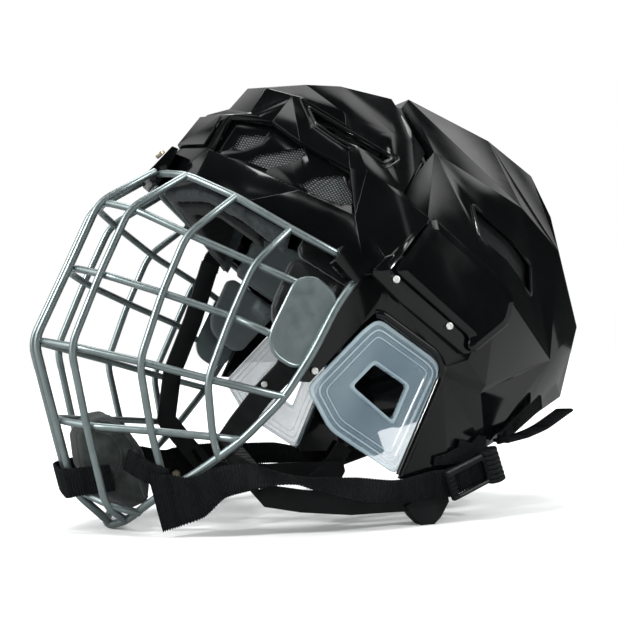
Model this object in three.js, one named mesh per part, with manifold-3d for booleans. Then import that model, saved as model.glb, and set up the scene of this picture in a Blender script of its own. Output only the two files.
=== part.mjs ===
// Ice hockey helmet with a full wire face cage, lying tipped back on a flat surface.
// Millimetres, +Z up. The face looks along -Y, the wearer's left is +X, and the helmet is symmetric about
// X = 0 apart from its slack left chin strap. The origin is under the middle of the helmet, on the surface.
import * as THREE from 'three';
import { mergeVertices } from 'three/addons/utils/BufferGeometryUtils.js';
import Module from 'manifold-3d';

const wasm = await Module();
wasm.setup();

// -------------------------------------------------------------------------------------- driving dimensions

const SHELL_WALL = 3;            // moulded shell thickness
const FIT = 0.4;                 // clearance between pieces that touch
const WIRE = 2.1;                // radius of the cage's bars
const RIM_WIRE = 2.3;            // radius of the cage's edge wire
const WIRE_SIDES = 6;
const WELD = 3.3;                // how far the cross bars lie behind the upright bars, centre to centre
const WEBBING = 16;              // width of the chin straps
const WEBBING_THICK = 2;
const LOOP_THICK = 3;
const CENTRE = new THREE.Vector3(0, 40, 140);   // a point inside the head cavity

// The side plate's outer face is a plane: x = PLATE.x - PLATE.back (y - PLATE.y) - PLATE.up (z - PLATE.z).
const PLATE = { x: 103, y: 12, z: 141.5, back: 0.137, up: 0.0288, thick: 3 };
// The ear guard's outer face is a plane of the same kind.
const GUARD = { x: 89.3, y: -40, z: 79, back: -0.0344, up: -0.0675, thick: 2.6 };

const COLOURS = {
  black_gloss: { color: 0x0b0c0d, roughness: 0.18, metalness: 0 },
  black_matte: { color: 0x151617, roughness: 0.6, metalness: 0 },
  webbing: { color: 0x101112, roughness: 0.9, metalness: 0 },
  steel: { color: 0xb4bab9, roughness: 0.38, metalness: 0.85 },
  foam_grey: { color: 0x8c9497, roughness: 0.85, metalness: 0 },
  foam_black: { color: 0x1a1c1d, roughness: 0.85, metalness: 0 },
  guard_clear: { color: 0xa9bccb, roughness: 0.25, metalness: 0, transparent: true, opacity: 0.75 },
  suede: { color: 0x5d6462, roughness: 0.95, metalness: 0 },
  brass: { color: 0xb7a878, roughness: 0.4, metalness: 0.9 },
  rivet: { color: 0xd9dcda, roughness: 0.3, metalness: 0.3 },
  mesh_grey: { color: 0x6c7272, roughness: 0.5, metalness: 0.5 },
};
const materials = Object.fromEntries(
  Object.entries(COLOURS).map(([name, values]) => [name, new THREE.MeshStandardMaterial({ name, ...values })]));

const helmet = new THREE.Group();
helmet.name = 'ice_hockey_helmet';

// --------------------------------------------------------------------------------------------- shape tools

const point = ([x, y, z]) => new THREE.Vector3(x, y, z);
const mirrored = (p) => new THREE.Vector3(-p.x, p.y, p.z);

function bufferGeometry(points, triangles) {
  const geometry = new THREE.BufferGeometry();
  geometry.setAttribute('position', new THREE.Float32BufferAttribute(points.flatMap((p) => [p.x, p.y, p.z]), 3));
  geometry.setIndex(triangles.flat());
  return geometry;
}

function toSolid(geometry) {
  const bare = new THREE.BufferGeometry().setAttribute('position', geometry.getAttribute('position'));
  if (geometry.index) bare.setIndex(geometry.index);
  const merged = mergeVertices(bare, 1e-3);
  return new wasm.Manifold(new wasm.Mesh({
    numProp: 3,
    vertProperties: new Float32Array(merged.attributes.position.array),
    triVerts: new Uint32Array(merged.index.array),
  }));
}

function toGeometry(solid) {
  const mesh = solid.getMesh();
  const geometry = new THREE.BufferGeometry();
  geometry.setAttribute('position', new THREE.Float32BufferAttribute(mesh.vertProperties, 3));
  geometry.setIndex(Array.from(mesh.triVerts));
  return geometry;
}

// The biggest of the bodies that a cut leaves.
function largestOf(geometry) {
  const bodies = toSolid(geometry).decompose();
  bodies.sort((a, b) => b.volume() - a.volume());
  return toGeometry(bodies[0]);
}

const keepWithin = (body, tool) => toGeometry(toSolid(body).intersect(toSolid(tool)));
const join = (first, ...others) => toGeometry(others.reduce((all, g) => all.add(toSolid(g)), toSolid(first)));
const cut = (body, ...tools) => toGeometry(tools.reduce((all, g) => all.subtract(toSolid(g)), toSolid(body)));

// Cuts the other geometries out of the body with `gap` round them, and keeps the biggest piece.
function clearOf(body, gap, ...others) {
  const ways = [[gap, 0, 0], [-gap, 0, 0], [0, gap, 0], [0, -gap, 0], [0, 0, gap], [0, 0, -gap]];
  return largestOf(cut(body, ...others.flatMap((other) => ways.map((way) => other.clone().translate(...way)))));
}

// The mirror image of a closed geometry in the plane x = 0, with its faces turned to point out again.
function mirrorGeometry(geometry) {
  const copy = geometry.index ? geometry.clone() : mergeVertices(geometry.clone(), 1e-3);
  copy.applyMatrix4(new THREE.Matrix4().makeScale(-1, 1, 1));
  const index = copy.index.array;
  for (let i = 0; i < index.length; i += 3) [index[i + 1], index[i + 2]] = [index[i + 2], index[i + 1]];
  return copy;
}

function addPiece(name, geometry, material) {
  const piece = new THREE.Mesh(geometry, materials[material]);
  piece.name = name;
  helmet.add(piece);
}

function addPair(name, geometry, material) {
  addPiece(`${name}_left`, geometry, material);
  addPiece(`${name}_right`, mirrorGeometry(geometry), material);
}

// Corners and facets of one half become those of the whole: a corner off the middle plane gets a twin.
function wholeFromHalf(corners, facets) {
  const points = {};
  for (const [name, values] of Object.entries(corners)) {
    points[name] = point(values);
    if (values[0] !== 0) points[`${name}_r`] = mirrored(points[name]);
  }
  const twin = (name) => (corners[name][0] === 0 ? name : `${name}_r`);
  return { points, facets: [...facets, ...facets.map((facet) => facet.map(twin))] };
}

// Splits each facet into triangles, all facing away from the centre.
function triangulate(points, facets, centre) {
  return facets.flatMap((facet) => {
    const [first, ...others] = facet;
    const spokes = others.map((name) => points[name].clone().sub(points[first]));
    const normal = new THREE.Vector3();
    for (let i = 0; i + 1 < spokes.length; i += 1) normal.add(spokes[i].clone().cross(spokes[i + 1]));
    const outward = normal.dot(points[first].clone().sub(centre)) > 0;
    return others.slice(1).map((name, i) => (outward ? [first, others[i], name] : [first, name, others[i]]));
  });
}

// A faceted wall: its outer face lies `from` under the facets and its inner face `to` under them.
function wall({ points, facets }, from, to, centre = CENTRE) {
  const triangles = triangulate(points, facets, centre);
  const used = [...new Set(triangles.flat())];
  const normals = Object.fromEntries(used.map((name) => [name, new THREE.Vector3()]));
  const faceNormals = Object.fromEntries(used.map((name) => [name, []]));
  for (const [a, b, c] of triangles) {
    const normal = points[b].clone().sub(points[a]).cross(points[c].clone().sub(points[a])).normalize();
    for (const [at, p, q] of [[a, b, c], [b, c, a], [c, a, b]]) {
      const angle = points[p].clone().sub(points[at]).angleTo(points[q].clone().sub(points[at]));
      normals[at].addScaledVector(normal, angle);
      faceNormals[at].push(normal);
    }
  }
  const offset = (name, depth) => {
    const n = normals[name].clone().normalize();
    const slant = Math.max(0.6, Math.min(...faceNormals[name].map((face) => face.dot(n))));
    return points[name].clone().addScaledVector(n, -depth / slant);
  };
  const outer = used.map((name) => offset(name, from));
  const inner = used.map((name) => offset(name, to));
  const id = Object.fromEntries(used.map((name, i) => [name, i]));
  const n = used.length;
  const all = [];
  const edges = new Set(triangles.flatMap(([a, b, c]) => [`${a}|${b}`, `${b}|${c}`, `${c}|${a}`]));
  for (const [a, b, c] of triangles) {
    all.push([id[a], id[b], id[c]], [id[a] + n, id[c] + n, id[b] + n]);
    for (const [p, q] of [[a, b], [b, c], [c, a]]) {
      if (!edges.has(`${q}|${p}`)) all.push([id[q], id[p], id[p] + n], [id[q], id[p] + n, id[q] + n]);
    }
  }
  return bufferGeometry([...outer, ...inner], all);
}

// A closed solid through rings of equal length, each ring a list of points, with flat ends unless `loop`.
function loft(rings, loop = false) {
  const count = rings[0].length;
  const triangles = [];
  const last = loop ? rings.length : rings.length - 1;
  for (let i = 0; i < last; i += 1) {
    const here = i * count;
    const next = ((i + 1) % rings.length) * count;
    for (let j = 0; j < count; j += 1) {
      const k = (j + 1) % count;
      triangles.push([here + j, here + k, next + k], [here + j, next + k, next + j]);
    }
  }
  if (!loop) {
    const end = (rings.length - 1) * count;
    for (let j = 1; j + 1 < count; j += 1) {
      triangles.push([0, j + 1, j], [end, end + j, end + j + 1]);
    }
  }
  const geometry = bufferGeometry(rings.flat(), triangles);
  return toSolid(geometry).volume() < 0 ? turnedInsideOut(geometry) : geometry;
}

function turnedInsideOut(geometry) {
  const index = geometry.index.array;
  for (let i = 0; i < index.length; i += 3) [index[i + 1], index[i + 2]] = [index[i + 2], index[i + 1]];
  return geometry;
}

// Rounds the corners of a path: each bend becomes `steps` + 1 points on a curve that starts `reach` before it.
// A bend of under about ten degrees stays one point.
function rounded(path, reach, steps = 1) {
  const result = [path[0]];
  for (let i = 1; i + 1 < path.length; i += 1) {
    const before = path[i - 1].clone().sub(path[i]);
    const after = path[i + 1].clone().sub(path[i]);
    if (before.angleTo(after) > Math.PI - 0.17) {
      result.push(path[i]);
      continue;
    }
    const start = path[i].clone().addScaledVector(before, Math.min(reach / before.length(), 0.45));
    const end = path[i].clone().addScaledVector(after, Math.min(reach / after.length(), 0.45));
    result.push(...new THREE.QuadraticBezierCurve3(start, path[i], end).getPoints(steps));
  }
  result.push(path[path.length - 1]);
  return result;
}

function tangents(path, loop) {
  const n = path.length;
  return path.map((p, i) => {
    const before = loop ? path[(i + n - 1) % n] : path[Math.max(i - 1, 0)];
    const after = loop ? path[(i + 1) % n] : path[Math.min(i + 1, n - 1)];
    const into = p.clone().sub(before).normalize();
    const out = after.clone().sub(p).normalize();
    return into.add(out).normalize();
  });
}

// A round wire along a path of points. Each ring is carried on from the last one, so the wire doesn't twist.
function wire(path, radius, sides = WIRE_SIDES) {
  const along = tangents(path, false);
  let across = new THREE.Vector3(0, 0, 1).cross(along[0]);
  if (across.length() < 0.2) across = new THREE.Vector3(1, 0, 0).cross(along[0]);
  const rings = path.map((p, i) => {
    const u = across.sub(along[i].clone().multiplyScalar(across.dot(along[i]))).normalize().clone();
    const v = along[i].clone().cross(u);
    return Array.from({ length: sides }, (_, k) => {
      const angle = (2 * Math.PI * (k + 0.5)) / sides;
      return p.clone().addScaledVector(u, radius * Math.cos(angle)).addScaledVector(v, radius * Math.sin(angle));
    });
  });
  return loft(rings);
}

// A flat band along a path. `face` and `width` are one value, or one for each point. A bend is mitred, so
// the band keeps its width and thickness round it.
function strap(path, face, width = WEBBING, thick = WEBBING_THICK) {
  const along = tangents(path, false);
  const each = (value, i) => (Array.isArray(value) ? value[i] : value);
  const rings = path.map((p, i) => {
    const out = each(face, i).clone();
    out.addScaledVector(along[i], -out.dot(along[i])).normalize();
    const side = along[i].clone().cross(out);
    const into = i > 0 ? p.clone().sub(path[i - 1]).normalize() : along[i];
    const turn = along[i].clone().sub(into);
    const mitre = 1 / Math.max(into.dot(along[i]), 0.5) - 1;
    const share = turn.lengthSq() > 1e-6 ? turn.dot(side) ** 2 / turn.lengthSq() : 0;
    const halfWidth = (each(width, i) / 2) * (1 + mitre * share);
    const halfThick = (thick / 2) * (1 + mitre * (1 - share));
    return [[-1, -1], [1, -1], [1, 1], [-1, 1]].map(([s, t]) =>
      p.clone().addScaledVector(side, s * halfWidth).addScaledVector(out, t * halfThick));
  });
  return loft(rings);
}

// A plate cut to an outline in y and z, with its outer face on a slanted plane and rounded corners.
function sidePlate(outline, plane, thick, reach, holes = []) {
  const flat = ([y, z]) => new THREE.Vector3(y, z, 0);
  const round = (corners, r) => rounded([...corners, corners[0], corners[1]].map(flat), r).slice(1, -1)
    .map((p) => new THREE.Vector2(p.x, p.y));
  const shape = new THREE.Shape(round(outline, reach));
  shape.holes = holes.map((hole) => new THREE.Path(round(hole, reach / 2)));
  const geometry = new THREE.ExtrudeGeometry(shape, { depth: thick, bevelEnabled: false });
  const at = geometry.getAttribute('position');
  for (let i = 0; i < at.count; i += 1) {
    const [y, z, depth] = [at.getX(i), at.getY(i), at.getZ(i)];
    at.setXYZ(i, planeX(plane, y, z) - thick + depth, y, z);
  }
  return geometry;
}

const planeX = (plane, y, z) => plane.x - plane.back * (y - plane.y) - plane.up * (z - plane.z);

// A prism of an outline in y and z, from one x to another.
function prism(outline, xFrom, xTo) {
  const shape = new THREE.Shape(outline.map(([y, z]) => new THREE.Vector2(y, z)));
  const geometry = new THREE.ExtrudeGeometry(shape, { depth: xTo - xFrom, bevelEnabled: false });
  const basis = new THREE.Matrix4().makeBasis(
    new THREE.Vector3(0, 1, 0), new THREE.Vector3(0, 0, 1), new THREE.Vector3(1, 0, 0));
  return geometry.applyMatrix4(basis).translate(xFrom, 0, 0);
}

// A round stud, rivet or screw head from one point to another.
function stud(from, to, radius, sides = 10) {
  const axis = to.clone().sub(from);
  const geometry = new THREE.CylinderGeometry(radius, radius, axis.length(), sides);
  const turn = new THREE.Quaternion().setFromUnitVectors(new THREE.Vector3(0, 1, 0), axis.clone().normalize());
  return geometry.applyQuaternion(turn).translate(...from.clone().add(to).multiplyScalar(0.5).toArray());
}

// --------------------------------------------------------------------------------------------- front shell

// Corners of the left half, [x, y, z], along its lines from the face rim up and back to the crown.
const FRONT_CORNERS = {
  rim_mid: [0, -96.5, 200.5], rim_brow: [37, -82, 199], rim_eye: [57, -60.5, 183.5],
  rim_temple: [73, -34.5, 164],
  rim_end: [92, -8.5, 147.5],
  ledge_mid: [0, -84, 222], ledge_brow: [30, -70.5, 218.5], ledge_eye: [50, -45, 202.3],
  ledge_temple: [67, -28, 189.5],
  ledge_end: [86, -2.9, 173],
  brow_mid: [0, -64.5, 246], brow_corner: [30, -57.5, 239.5], brow_side: [44, -36, 233.4],
  brow_vent: [57, -23.8, 219.5],
  brow_end: [70, 1.4, 202.3],
  foot_mid: [0, -50, 250.5], foot_side: [33, -46, 240.6],
  top_mid: [0, -38, 264], top_side: [27, -34, 257.6], top_seam: [34, -20, 252.3],
  spine_front: [0, -8, 266.5], spine_back: [0, 50, 261.8],
  crown_front: [30, -9.6, 260.3], crown_mid: [31, 12, 260.3], crown_back: [33, 45.5, 253.7],
  ridge_front: [35, -12, 250.6], ridge_mid: [44, 9.6, 240.5], ridge_rear: [55, 35.5, 227.1],
  ridge_back: [63, 52.5, 214.2],
  wing_front: [77, 8.8, 199.6], wing_top: [86, 26.6, 186], wing_back: [95.2, 38, 170.5],
  wing_low: [101.5, 11, 141.5], wing_foot: [98, -2.8, 139],
};
const FRONT_FACETS = [
  ['rim_mid', 'rim_brow', 'ledge_brow', 'ledge_mid'], ['rim_brow', 'rim_eye', 'ledge_eye', 'ledge_brow'],
  ['rim_eye', 'rim_temple', 'ledge_temple', 'ledge_eye'],
  ['rim_temple', 'rim_end', 'ledge_end', 'ledge_temple'],
  ['ledge_mid', 'ledge_brow', 'brow_corner', 'brow_mid'],
  ['brow_mid', 'brow_corner', 'foot_side', 'foot_mid'],
  ['brow_corner', 'brow_side', 'foot_side'], ['foot_mid', 'foot_side', 'top_side', 'top_mid'],
  ['foot_side', 'brow_side', 'top_seam', 'top_side'], ['top_mid', 'top_side', 'crown_front', 'spine_front'],
  ['spine_front', 'crown_front', 'crown_mid', 'crown_back', 'spine_back'],
  ['top_side', 'top_seam', 'ridge_front', 'crown_front'],
  ['crown_front', 'ridge_front', 'ridge_mid', 'crown_mid'],
  ['crown_mid', 'ridge_mid', 'ridge_rear', 'crown_back'], ['crown_back', 'ridge_rear', 'ridge_back'],
  ['top_seam', 'brow_side', 'brow_vent', 'ridge_front'],
  ['ridge_front', 'brow_vent', 'brow_end', 'ridge_mid'],
  ['ridge_mid', 'brow_end', 'wing_front', 'ridge_rear'],
  ['ridge_rear', 'wing_front', 'wing_top', 'ridge_back'],
  ['brow_end', 'ledge_end', 'wing_front'], ['wing_front', 'ledge_end', 'wing_low', 'wing_back', 'wing_top'],
  ['ledge_end', 'rim_end', 'wing_foot', 'wing_low'],
];

// ---------------------------------------------------------------------------------------------- rear shell

// Corners of the left half: over the crown, down the side ridge, along the step above the skirt, and round
// the hem.
const REAR_CORNERS = {
  spine_front: [0, 62, 258.5], spine_mid: [0, 117, 236], spine_rear: [0, 153, 210.5],
  spine_tail: [0, 173, 176],
  crown_front: [34, 56.5, 253.7], crown_mid: [35, 111, 229.5], crown_rear: [35, 141.5, 207.8],
  crown_tail: [37.5, 153.3, 181],
  ridge_front: [70, 55, 213.5], ridge_mid: [55, 121.6, 183.7], ridge_rear: [42, 155.5, 157.7],
  shoulder: [79.5, 24, 182], temple: [88, -8, 140], cheek: [96, 10, 135], leg: [88.3, -40, 79],
  gutter_spine: [0, 58.5, 253.3], gutter_crown: [31, 52.5, 248.8], gutter_ridge: [62, 54, 207],
  lip_spine: [0, 36, 256.6], lip_crown: [27.5, 31, 251.5], lip_ridge: [50, 31, 224],
  side_mid: [92, 38, 168], side_rear: [86, 86, 134], side_low: [91, 61, 91],
  step_ear: [94, 45, 87.5], step_low: [85.5, 74.5, 76], step_quarter: [69, 107, 84],
  step_corner: [50, 140.5, 88.5],
  skirt_ear: [92, 44, 83], skirt_low: [83, 72.5, 71.5], skirt_quarter: [66.5, 105, 79.5],
  flank: [30, 174.7, 109.3], rear_mid: [0, 183, 112],
  hem_ear: [89.5, 16, 27], hem_front: [87, 48, 26], hem_low: [77, 77.5, 39.5], hem_quarter: [58, 113, 50],
  hem_corner: [39, 154, 64.5], hem_mid: [0, 172, 71],
};
const REAR_FACETS = [
  ['lip_spine', 'lip_crown', 'gutter_crown', 'gutter_spine'],
  ['gutter_spine', 'gutter_crown', 'crown_front', 'spine_front'],
  ['lip_crown', 'lip_ridge', 'gutter_ridge', 'gutter_crown'],
  ['gutter_crown', 'gutter_ridge', 'ridge_front', 'crown_front'],
  ['lip_ridge', 'shoulder', 'gutter_ridge'], ['gutter_ridge', 'shoulder', 'ridge_front'],
  ['spine_front', 'crown_front', 'crown_mid', 'spine_mid'],
  ['spine_mid', 'crown_mid', 'crown_rear', 'spine_rear'],
  ['crown_front', 'ridge_front', 'ridge_mid', 'crown_mid'],
  ['crown_mid', 'ridge_mid', 'ridge_rear', 'crown_rear'],
  ['crown_rear', 'ridge_rear', 'crown_tail'], ['crown_rear', 'crown_tail', 'spine_tail', 'spine_rear'],
  ['crown_tail', 'ridge_rear', 'flank'], ['crown_tail', 'flank', 'rear_mid', 'spine_tail'],
  ['ridge_rear', 'step_corner', 'flank'],
  ['ridge_front', 'shoulder', 'side_mid'], ['shoulder', 'temple', 'cheek', 'side_mid'],
  ['ridge_front', 'side_mid', 'side_rear', 'ridge_mid'],
  ['side_mid', 'cheek', 'side_low', 'side_rear'], ['ridge_mid', 'side_rear', 'step_corner', 'ridge_rear'],
  ['side_rear', 'side_low', 'step_low', 'step_quarter'], ['side_rear', 'step_quarter', 'step_corner'],
  ['temple', 'leg', 'hem_ear', 'cheek'], ['cheek', 'hem_ear', 'skirt_ear', 'step_ear'],
  ['cheek', 'step_ear', 'side_low'], ['side_low', 'step_ear', 'step_low'],
  ['step_ear', 'skirt_ear', 'skirt_low', 'step_low'],
  ['step_low', 'skirt_low', 'skirt_quarter', 'step_quarter'],
  ['step_quarter', 'skirt_quarter', 'step_corner'],
  ['skirt_ear', 'hem_ear', 'hem_front', 'hem_low', 'skirt_low'],
  ['hem_low', 'step_corner', 'skirt_quarter', 'skirt_low'],
  ['step_corner', 'hem_low', 'hem_quarter'], ['step_corner', 'hem_quarter', 'hem_corner'],
  ['step_corner', 'hem_corner', 'flank'], ['flank', 'hem_corner', 'hem_mid', 'rear_mid'],
];

// The side plate's outline in y and z, and the tongue of the front shell that runs back under it.
const PLATE_OUTLINE = [[39.5, 171], [85, 136], [93, 126], [87, 110.5], [62.5, 95], [58, 98], [60, 104],
  [13.5, 141]];
const PLATE_RIVETS = [[14.2, 136.2], [47.2, 110.3]];
const TONGUE_OUTLINE = [[-1, 140], [11, 150], [50, 145], [70, 101], [58, 93.5], [16, 124.5]];
const TONGUE_PLANE = { ...PLATE, x: PLATE.x - PLATE.thick - FIT };

// The ear opening in the rear shell, and the guard that fills it.
const EAR_OPENING = [[-33, 82], [4, 118], [8.5, 118], [42.3, 94.2], [45.4, 84.5], [17.5, 28], [10, 8],
  [-62, 56],
  [-62, 85]];
const GUARD_OUTLINE = [[-35, 79], [-2, 110], [6.5, 115.5], [40, 92], [43.5, 84], [15, 32], [-22, 56]];
const GUARD_WINDOW = [[-9, 79], [14, 59], [23, 78], [4, 91]];

// The long vent in the rear shell's side, and the pointed vent in the crown.
const SIDE_VENT = [[79, 180], [124, 148], [122, 131], [79, 162]];
const CROWN_VENT = [[-10.5, 241], [-9.5, 233], [-1, 224.5], [22, 206.5], [27, 209.5]];

const frontWall = wall(wholeFromHalf(FRONT_CORNERS, FRONT_FACETS), 0, SHELL_WALL);
const rearShape = wholeFromHalf(REAR_CORNERS, REAR_FACETS);
const rearWall = wall(rearShape, 0, SHELL_WALL);
const earCutter = prism(EAR_OPENING, 70, 120);
const ventCutter = prism(SIDE_VENT, 50, 100);
const crownCutter = prism(CROWN_VENT, 20, 110);
const tongue = sidePlate(TONGUE_OUTLINE, TONGUE_PLANE, PLATE.thick, 2);

const frontSolid = cut(join(frontWall, tongue, mirrorGeometry(tongue)), crownCutter, mirrorGeometry(crownCutter));
addPiece('shell_front', frontSolid, 'black_gloss');
addPiece('shell_rear',
  cut(rearWall, earCutter, mirrorGeometry(earCutter), ventCutter, mirrorGeometry(ventCutter)), 'black_gloss');
addPair('side_plate', sidePlate(PLATE_OUTLINE, PLATE, PLATE.thick, 3), 'black_gloss');
for (const [i, [y, z]] of PLATE_RIVETS.entries()) {
  const base = planeX(TONGUE_PLANE, y, z);
  addPair(`plate_rivet_${i + 1}`, stud(point([base + FIT, y, z]), point([base + 2, y, z]), 2.2, 8), 'rivet');
}
addPair('ear_guard', sidePlate(GUARD_OUTLINE, GUARD, GUARD.thick, 5, [GUARD_WINDOW]), 'guard_clear');

// ---------------------------------------------------------------------------------------------------- cage

// Where the four pairs of upright bars cross the level bars, [x, y, z] on the left side. `end` is the rim or
// a plate.
const LEVELS = {
  top: { bar_1: [15.5, -97.3, 206.2], bar_2: [39, -86.5, 201.3], bar_3: [60.5, -63.7, 186],
  bar_4: [76.5, -37.2, 166.3],
    end: [91, -13.5, 149.6] },
  brow: { bar_1: [16, -133.3, 188.2], bar_2: [38.5, -119.5, 181.3], bar_3: [60, -92, 164.5],
  bar_4: [76, -58.7, 147],
    end: [88.5, -35, 134] },
  nose: { bar_1: [16.5, -151, 150], bar_2: [40, -137, 144.2], bar_3: [60.5, -106.6, 132],
  bar_4: [75, -72.3, 118.4],
    end: [88, -55, 109] },
  mouth: { bar_1: [17, -170.5, 109], bar_2: [42, -153.5, 104.7], bar_3: [63, -120, 95.3],
  bar_4: [79, -87, 85.2],
    end: [91, -48.3, 74.8] },
  jaw: { bar_1: [17, -160, 63.7], bar_2: [38.5, -145.4, 61.1], bar_3: [56.5, -113.5, 57.9],
  bar_4: [73, -83.5, 54.2],
    end: [82, -69.5, 52.8] },
};
const CHIN_BAR = { bar_1: [16, -150.5, 23.4], bar_2: [38, -136, 17], end: [38, -117.5, 12] };
const BAR_TOPS = { bar_1: [15.5, -100.1, 207.2] };
const BAR_FEET = { bar_1: [9, -129.6, 2.9], bar_2: [28, -123.7, 7], bar_3: [54, -105.5, 26.5],
  bar_4: [75, -80.6, 42.8] };
const RIM_PATH = [[0, -130.5, 2.2], [9, -129.8, 2.25], [28, -123.7, 6.7], [46, -111.5, 19.8],
  [68, -89.5, 36.8],
  [82, -69.5, 52.8], [91, -48.3, 74.8], [92.5, -32, 98.2], [92.7, -17.5, 123.3], [93, -6.6, 136.6]];
const CAGE_MIDDLE = new THREE.Vector3(0, 0, 100);

const wholePath = (half) => [...half.slice().reverse().map(mirrored), ...half].filter(
  (p, i, all) => i === 0 || p.distanceTo(all[i - 1]) > 0.01);

// A level bar lies `behind` the upright bars that it is welded to, so its points are drawn in towards the head.
function levelBar(level, behind = WELD, radius = WIRE) {
  const drawnIn = (p) => p.clone().addScaledVector(CAGE_MIDDLE.clone().setZ(p.z).sub(p).normalize(), behind);
  const half = Object.entries(level).map(([name, at]) => (name === 'end' ? point(at) : drawnIn(point(at))));
  return wire(rounded(wholePath(half), 7), radius);
}

function uprightBar(name) {
  const path = Object.values(LEVELS).map((level) => point(level[name]));
  if (BAR_TOPS[name]) path[0] = point(BAR_TOPS[name]);
  if (CHIN_BAR[name]) path.push(point(CHIN_BAR[name]));
  path.push(point(BAR_FEET[name]));
  return wire(rounded(path, 7), WIRE);
}

const { top: topLevel, ...otherLevels } = LEVELS;
const lowerBars = Object.values(otherLevels).map((level) => levelBar(level));
const bars = [levelBar(topLevel, 0), levelBar(CHIN_BAR), ...lowerBars];
for (const name of Object.keys(BAR_FEET)) bars.push(uprightBar(name), mirrorGeometry(uprightBar(name)));
const rimPoints = rounded(wholePath(RIM_PATH.map(point)), 7);

// The flat temple plates, welded between the rim wire and two level bars.
const TEMPLE_PLANE = { x: 90.6, y: -37, z: 114.5, back: -0.06, up: 0, thick: 2 };
const TEMPLE_OUTLINE = [[-40, 138], [-29, 139.5], [-17.5, 130], [-17, 120], [-32, 92.5], [-42, 89],
  [-54, 97], [-56, 108]];
const templePlate = sidePlate(TEMPLE_OUTLINE, TEMPLE_PLANE, TEMPLE_PLANE.thick, 6);
addPiece('cage', join(wire(rimPoints, RIM_WIRE), ...bars, templePlate, mirrorGeometry(templePlate)), 'steel');

// ---------------------------------------------------------------------------------------------- cage clips

// The wires and the shells with the clearance that a clip leaves round them.
const looseTop = levelBar({ ...topLevel, end: [91.9, -12, 148.4] }, 0, WIRE + FIT);
const looseRim = wire([...RIM_PATH.slice(-3), [93.2, -5.8, 137.6]].map(point), RIM_WIRE + FIT);

// Forehead clip: a folded plate that holds the top bar against the brow, in profile.
const FOREHEAD_CLIP = [[-85, 221.8], [-89, 223.3], [-99, 212.5], [-103, 208.5], [-103, 202], [-99.5, 199],
  [-97.6, 199.6]];
addPiece('forehead_clip', clearOf(cut(prism(FOREHEAD_CLIP, -12, 12), looseTop), FIT, frontWall), 'black_gloss');
addPiece('clip_screw', stud(point([6, -94.4, 218.4]), point([6, -96, 220.1]), 3.2), 'brass');

// Side clips: a box that holds the ends of the top bar and of the rim wire against the shell.
const SIDE_CLIP_PLANE = { x: 99, y: -5, z: 146, back: -0.28, up: 0, thick: 11 };
const SIDE_CLIP = [[-19, 147], [-13.5, 156], [1.5, 145], [-8, 133.5]];
const sideClip = cut(sidePlate(SIDE_CLIP, SIDE_CLIP_PLANE, SIDE_CLIP_PLANE.thick, 1.2), looseTop, looseRim);
addPair('side_clip', clearOf(sideClip, FIT, frontWall, rearWall), 'black_gloss');

// --------------------------------------------------------------------------------------------------- vents

// The brow vent's floor lies under the opening between the brow ledge and the crown. It has three mesh windows.
const VENT_FACETS = [
  ['ledge_brow', 'ledge_eye', 'brow_side', 'brow_corner'],
  ['ledge_eye', 'ledge_temple', 'brow_vent', 'brow_side'],
  ['ledge_temple', 'ledge_end', 'brow_end', 'brow_vent'],
];
const VENT_WINDOWS = [
  [[-57, 219], [-52, 228], [-38, 226.5], [-40, 222.5], [-52, 217.5]],
  [[-50, 210.5], [-44, 214.5], [-20, 216.5], [-19, 212], [-28, 207.5], [-40, 205]],
  [[-25, 193.5], [-17, 198], [-2, 199.5], [3, 181], [-7, 181], [-19, 187.5]],
];
const ventShape = { points: Object.fromEntries(Object.entries(FRONT_CORNERS).map(([k, v]) => [k, point(v)])),
  facets: VENT_FACETS };
const windows = VENT_WINDOWS.map((outline) => prism(outline, 0, 110));
addPair('vent_frame', cut(wall(ventShape, 6, 7.6), ...windows), 'black_gloss');
addPair('vent_mesh', wall(ventShape, 8, 9), 'mesh_grey');

// The crown vent: a slotted insert under the pointed opening in the front shell's ridge.
const RIDGE_FACETS = [
  ['crown_front', 'ridge_front', 'ridge_mid', 'crown_mid'],
  ['crown_mid', 'ridge_mid', 'ridge_rear', 'crown_back'],
  ['ridge_front', 'brow_vent', 'brow_end', 'ridge_mid'],
  ['ridge_mid', 'brow_end', 'wing_front', 'ridge_rear'],
];
const CROWN_INSERT = [[-14, 245], [-13, 231], [-4, 221], [21, 204], [29, 207], [29, 217], [-4, 245]];
const CROWN_SLOT = [[-7, 236], [-4, 230], [21, 210.5], [24, 212.5]];
const ridgeShape = { ...ventShape, facets: RIDGE_FACETS };
const crownInsert = keepWithin(wall(ridgeShape, SHELL_WALL + 1.2, SHELL_WALL + 2.8), prism(CROWN_INSERT, 0, 110));
addPair('crown_vent', cut(crownInsert, prism(CROWN_SLOT, 0, 110)), 'black_matte');

// The blank badge on the forehead.
const BADGE_CORNERS = { low_mid: [0, -81.5, 225], low_side: [25, -71.2, 221], high_side: [25.5, -60.2, 238.8],
  high_mid: [0, -66.8, 243.2] };
const badgeShape = wholeFromHalf(BADGE_CORNERS, [['low_mid', 'low_side', 'high_side', 'high_mid']]);
addPiece('badge_plate', wall(badgeShape, -2.4, -0.7), 'black_gloss');

// ------------------------------------------------------------------------------------------------- linings

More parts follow.
